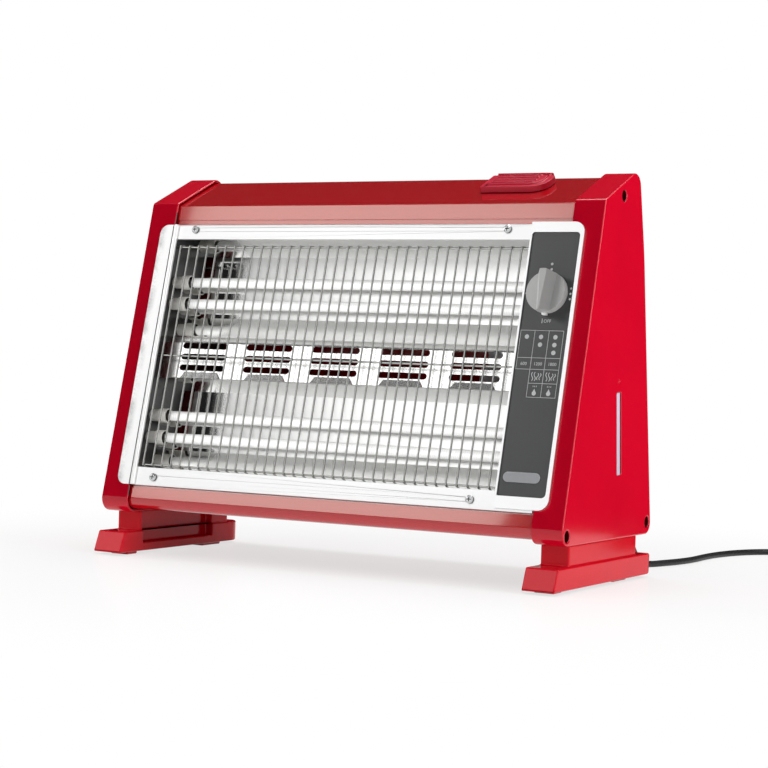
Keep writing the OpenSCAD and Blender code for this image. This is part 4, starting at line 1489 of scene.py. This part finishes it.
@dataclass
class ControlPanel:
    """Surround, printed plate, badge place and knob.

    Attributes:
        knob: Place of the knob along the front and up the lean.
        knob_dots: Places from the knob, and radii, of the dots round it: one, two and three.
        rest_bar: Low and high corners of the bar at rest, from the knob.
        rest_word: Place of the word at rest, from the knob.
        columns: Column lines of the printed table.
        rows: Row lines over all columns.
        low_rows: Row lines over the last two columns.
        line: Width of the printed lines.
        numbers: Numbers in the table.
        numbers_s: Foot of the numbers.
        dots: Place of the first dot in a column, step down to the next, and radius.
        dots_shift: Place of the dots from a column's middle.
        waves: Place from a column's middle, foot, height and swing of each wave.
        drop: Middle and radius of the drop.
        rays: Places of the strokes over the drop, from a column's middle.
        ray: Half the width, foot and top of such a stroke.
        badge: Low and high corners of the bare badge.
        badge_foot: Depth of the badge's foot.
        badge_levels: Inset and rise of the badge's rings, from its foot to its face.
        badge_sides: Corners of a ring.
    """

    knob: Point2 = (222.75, 234.5)
    knob_dots: Tuple[Triple, ...] = (
        (-24.0, 0.0, 1.1),
        (-0.5, 30.0, 1.35),
        (-0.3, 24.6, 1.35),
        (23.3, -5.4, 1.1),
        (23.3, 0.0, 1.1),
        (23.3, 5.4, 1.1),
    )
    rest_bar: Edges = (-3.4, -30.0, -2.6, -25.4)
    rest_word: Point2 = (2.6, -29.4)
    columns: Tuple[float, ...] = (198.6, 213.8, 228.9, 244.3)
    rows: Tuple[float, ...] = (197.0, 169.5, 158.0)
    low_rows: Tuple[float, ...] = (144.1, 130.2)
    line: float = 0.45
    numbers: Names = ("600", "1200", "1800")
    numbers_s: float = 162.0
    dots: Triple = (190.6, 7.8, 2.3)
    dots_shift: float = -0.4
    waves: Tuple[Tuple[float, float, float, float], ...] = (
        (-4.2, 146.6, 8.6, 0.9),
        (-1.4, 146.6, 8.6, 0.9),
        (1.6, 147.6, 6.6, -0.9),
        (4.2, 147.6, 6.6, -0.9),
    )
    drop: Point2 = (134.2, 2.2)
    rays: Triple = (-1.8, 0.0, 1.8)
    ray: Triple = (0.3, 140.4, 141.8)
    badge: Edges = (201.0, 46.0, 240.0, 56.0)
    badge_foot: float = -1.78
    badge_levels: Tuple[Point2, ...] = (
        (0.0, 0.0),
        (0.0, 0.5),
        (0.35, 0.75),
        (0.9, 0.75),
        (1.15, 0.6),
        (1.5, 0.6),
    )
    badge_sides: int = 48

    def knob_marks(self, marks: PanelPrint) -> None:
        """Draw the marks around the knob: one, two and three dots, and the word at rest.

        Args:
            marks: The drawing.
        """
        x, s = self.knob
        for shift, rise, radius in self.knob_dots:
            marks.disc(x + shift, s + rise, radius)
        x0, s0, x1, s1 = self.rest_bar
        marks.bar(x + x0, s + s0, x + x1, s + s1)
        marks.words("OFF", x + self.rest_word[0], s + self.rest_word[1])

    def table_lines(self, marks: PanelPrint) -> None:
        """Draw the lines of the table.

        Args:
            marks: The drawing.
        """
        half = self.line / 2.0
        left, second, right = self.columns[0], self.columns[1], self.columns[-1]
        for s in self.rows:
            marks.bar(left - half, s - half, right + half, s + half)
        for s in self.low_rows:
            marks.bar(second - half, s - half, right + half, s + half)
        for x in self.columns:
            foot = self.rows[-1] if x == left else self.low_rows[-1]
            marks.bar(x - half, foot, x + half, self.rows[0])

    def table_signs(self, marks: PanelPrint) -> None:
        """Draw dots, numbers, warm waves and drops in the table.

        Args:
            marks: The drawing.
        """
        middles = [(a + b) / 2.0 for a, b in zip(self.columns, self.columns[1:])]
        first, step, radius = self.dots
        for index, (x, number) in enumerate(zip(middles, self.numbers)):
            for dot in range(index + 1):
                marks.disc(x + self.dots_shift, first - step * dot, radius)
            marks.words(number, x, self.numbers_s)
        half, foot, top = self.ray
        for x in middles[1:]:
            for shift, s, height, swing in self.waves:
                marks.wave(x + shift, s, height, swing)
            marks.drop(x, *self.drop)
            for shift in self.rays:
                marks.bar(x + shift - half, foot, x + shift + half, top)

    def badge_ring(self, inset: float, rise: float) -> List[Point3]:
        """One ring of the bare badge, which is a low pill.

        Args:
            inset: Distance inside the badge's outline.
            rise: Height over the badge's foot.

        Returns:
            Its corners in x, s and d.
        """
        x0, s0, x1, s1 = self.badge
        half = (s1 - s0) / 2.0
        ring = []
        for k in range(self.badge_sides):
            angle = radians(360.0 * (k + 0.5) / self.badge_sides - 90.0)
            middle = x1 - half if cos(angle) > 0.0 else x0 + half
            x = middle + (half - inset) * cos(angle)
            ring.append((x, s0 + half + (half - inset) * sin(angle), self.badge_foot - rise))
        return ring

    def build(self, dresser: Dresser) -> None:
        """Dress the panel, print its marks and set the badge.

        Args:
            dresser: Gives the solids their finishes.
        """
        dresser.dress(["control_fascia"], Finishes.PANEL_SURROUND, Rounding(0.8, 3))
        dresser.dress(["control_plate"], Finishes.PANEL_PLATE)
        dresser.dress(["knob"], Finishes.KNOB, Rounding(0.45, 3))
        dresser.dress(["switch_spindle"], Finishes.SCREW_PLATING)
        dresser.dress(["rotary_switch"], Finishes.BLACK_PLASTIC, Rounding(0.4))
        marks = PanelPrint()
        self.knob_marks(marks)
        self.table_lines(marks)
        self.table_signs(marks)
        marks.build("panel_print", Finishes.PANEL_INK, "panel_grey")
        badge = PanelPrint()
        badge.stack([self.badge_ring(inset, rise) for inset, rise in self.badge_levels])
        badge.build("badge_place", Finishes.BADGE_PLATE, "knob_grey")


@dataclass
class WaterTank:
    """Tank with its lid, hinge pin and level window."""

    lid_edge: Rounding = Rounding(0.7, 3, whole=True)

    def build(self, dresser: Dresser) -> None:
        """Dress the tank and its lid.

        Args:
            dresser: Gives the solids their finishes.
        """
        dresser.dress(["water_tank"], Finishes.TANK, Rounding(0.5))
        dresser.dress(["tank_lid"], Finishes.RED_MOULDING, self.lid_edge)
        dresser.dress(["lid_hinge_pin"], Finishes.SCREW_PLATING, Rounding(0.3))
        dresser.dress(["level_window"], Finishes.WINDOW, Rounding(0.6, 3))


def main() -> None:
    """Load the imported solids, then build and dress every part in order."""
    logging.basicConfig(level=logging.INFO, format="%(name)s: %(message)s")
    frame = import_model()
    dresser = Dresser(frame["nodes"])
    studio = Studio()
    studio.camera()
    PowerLead().build(dresser)
    studio.build(dresser.solids)
    Housing().build(dresser)
    HeatingFront().build(dresser)
    ControlPanel().build(dresser)
    WaterTank().build(dresser)


if __name__ == "__main__":
    main()
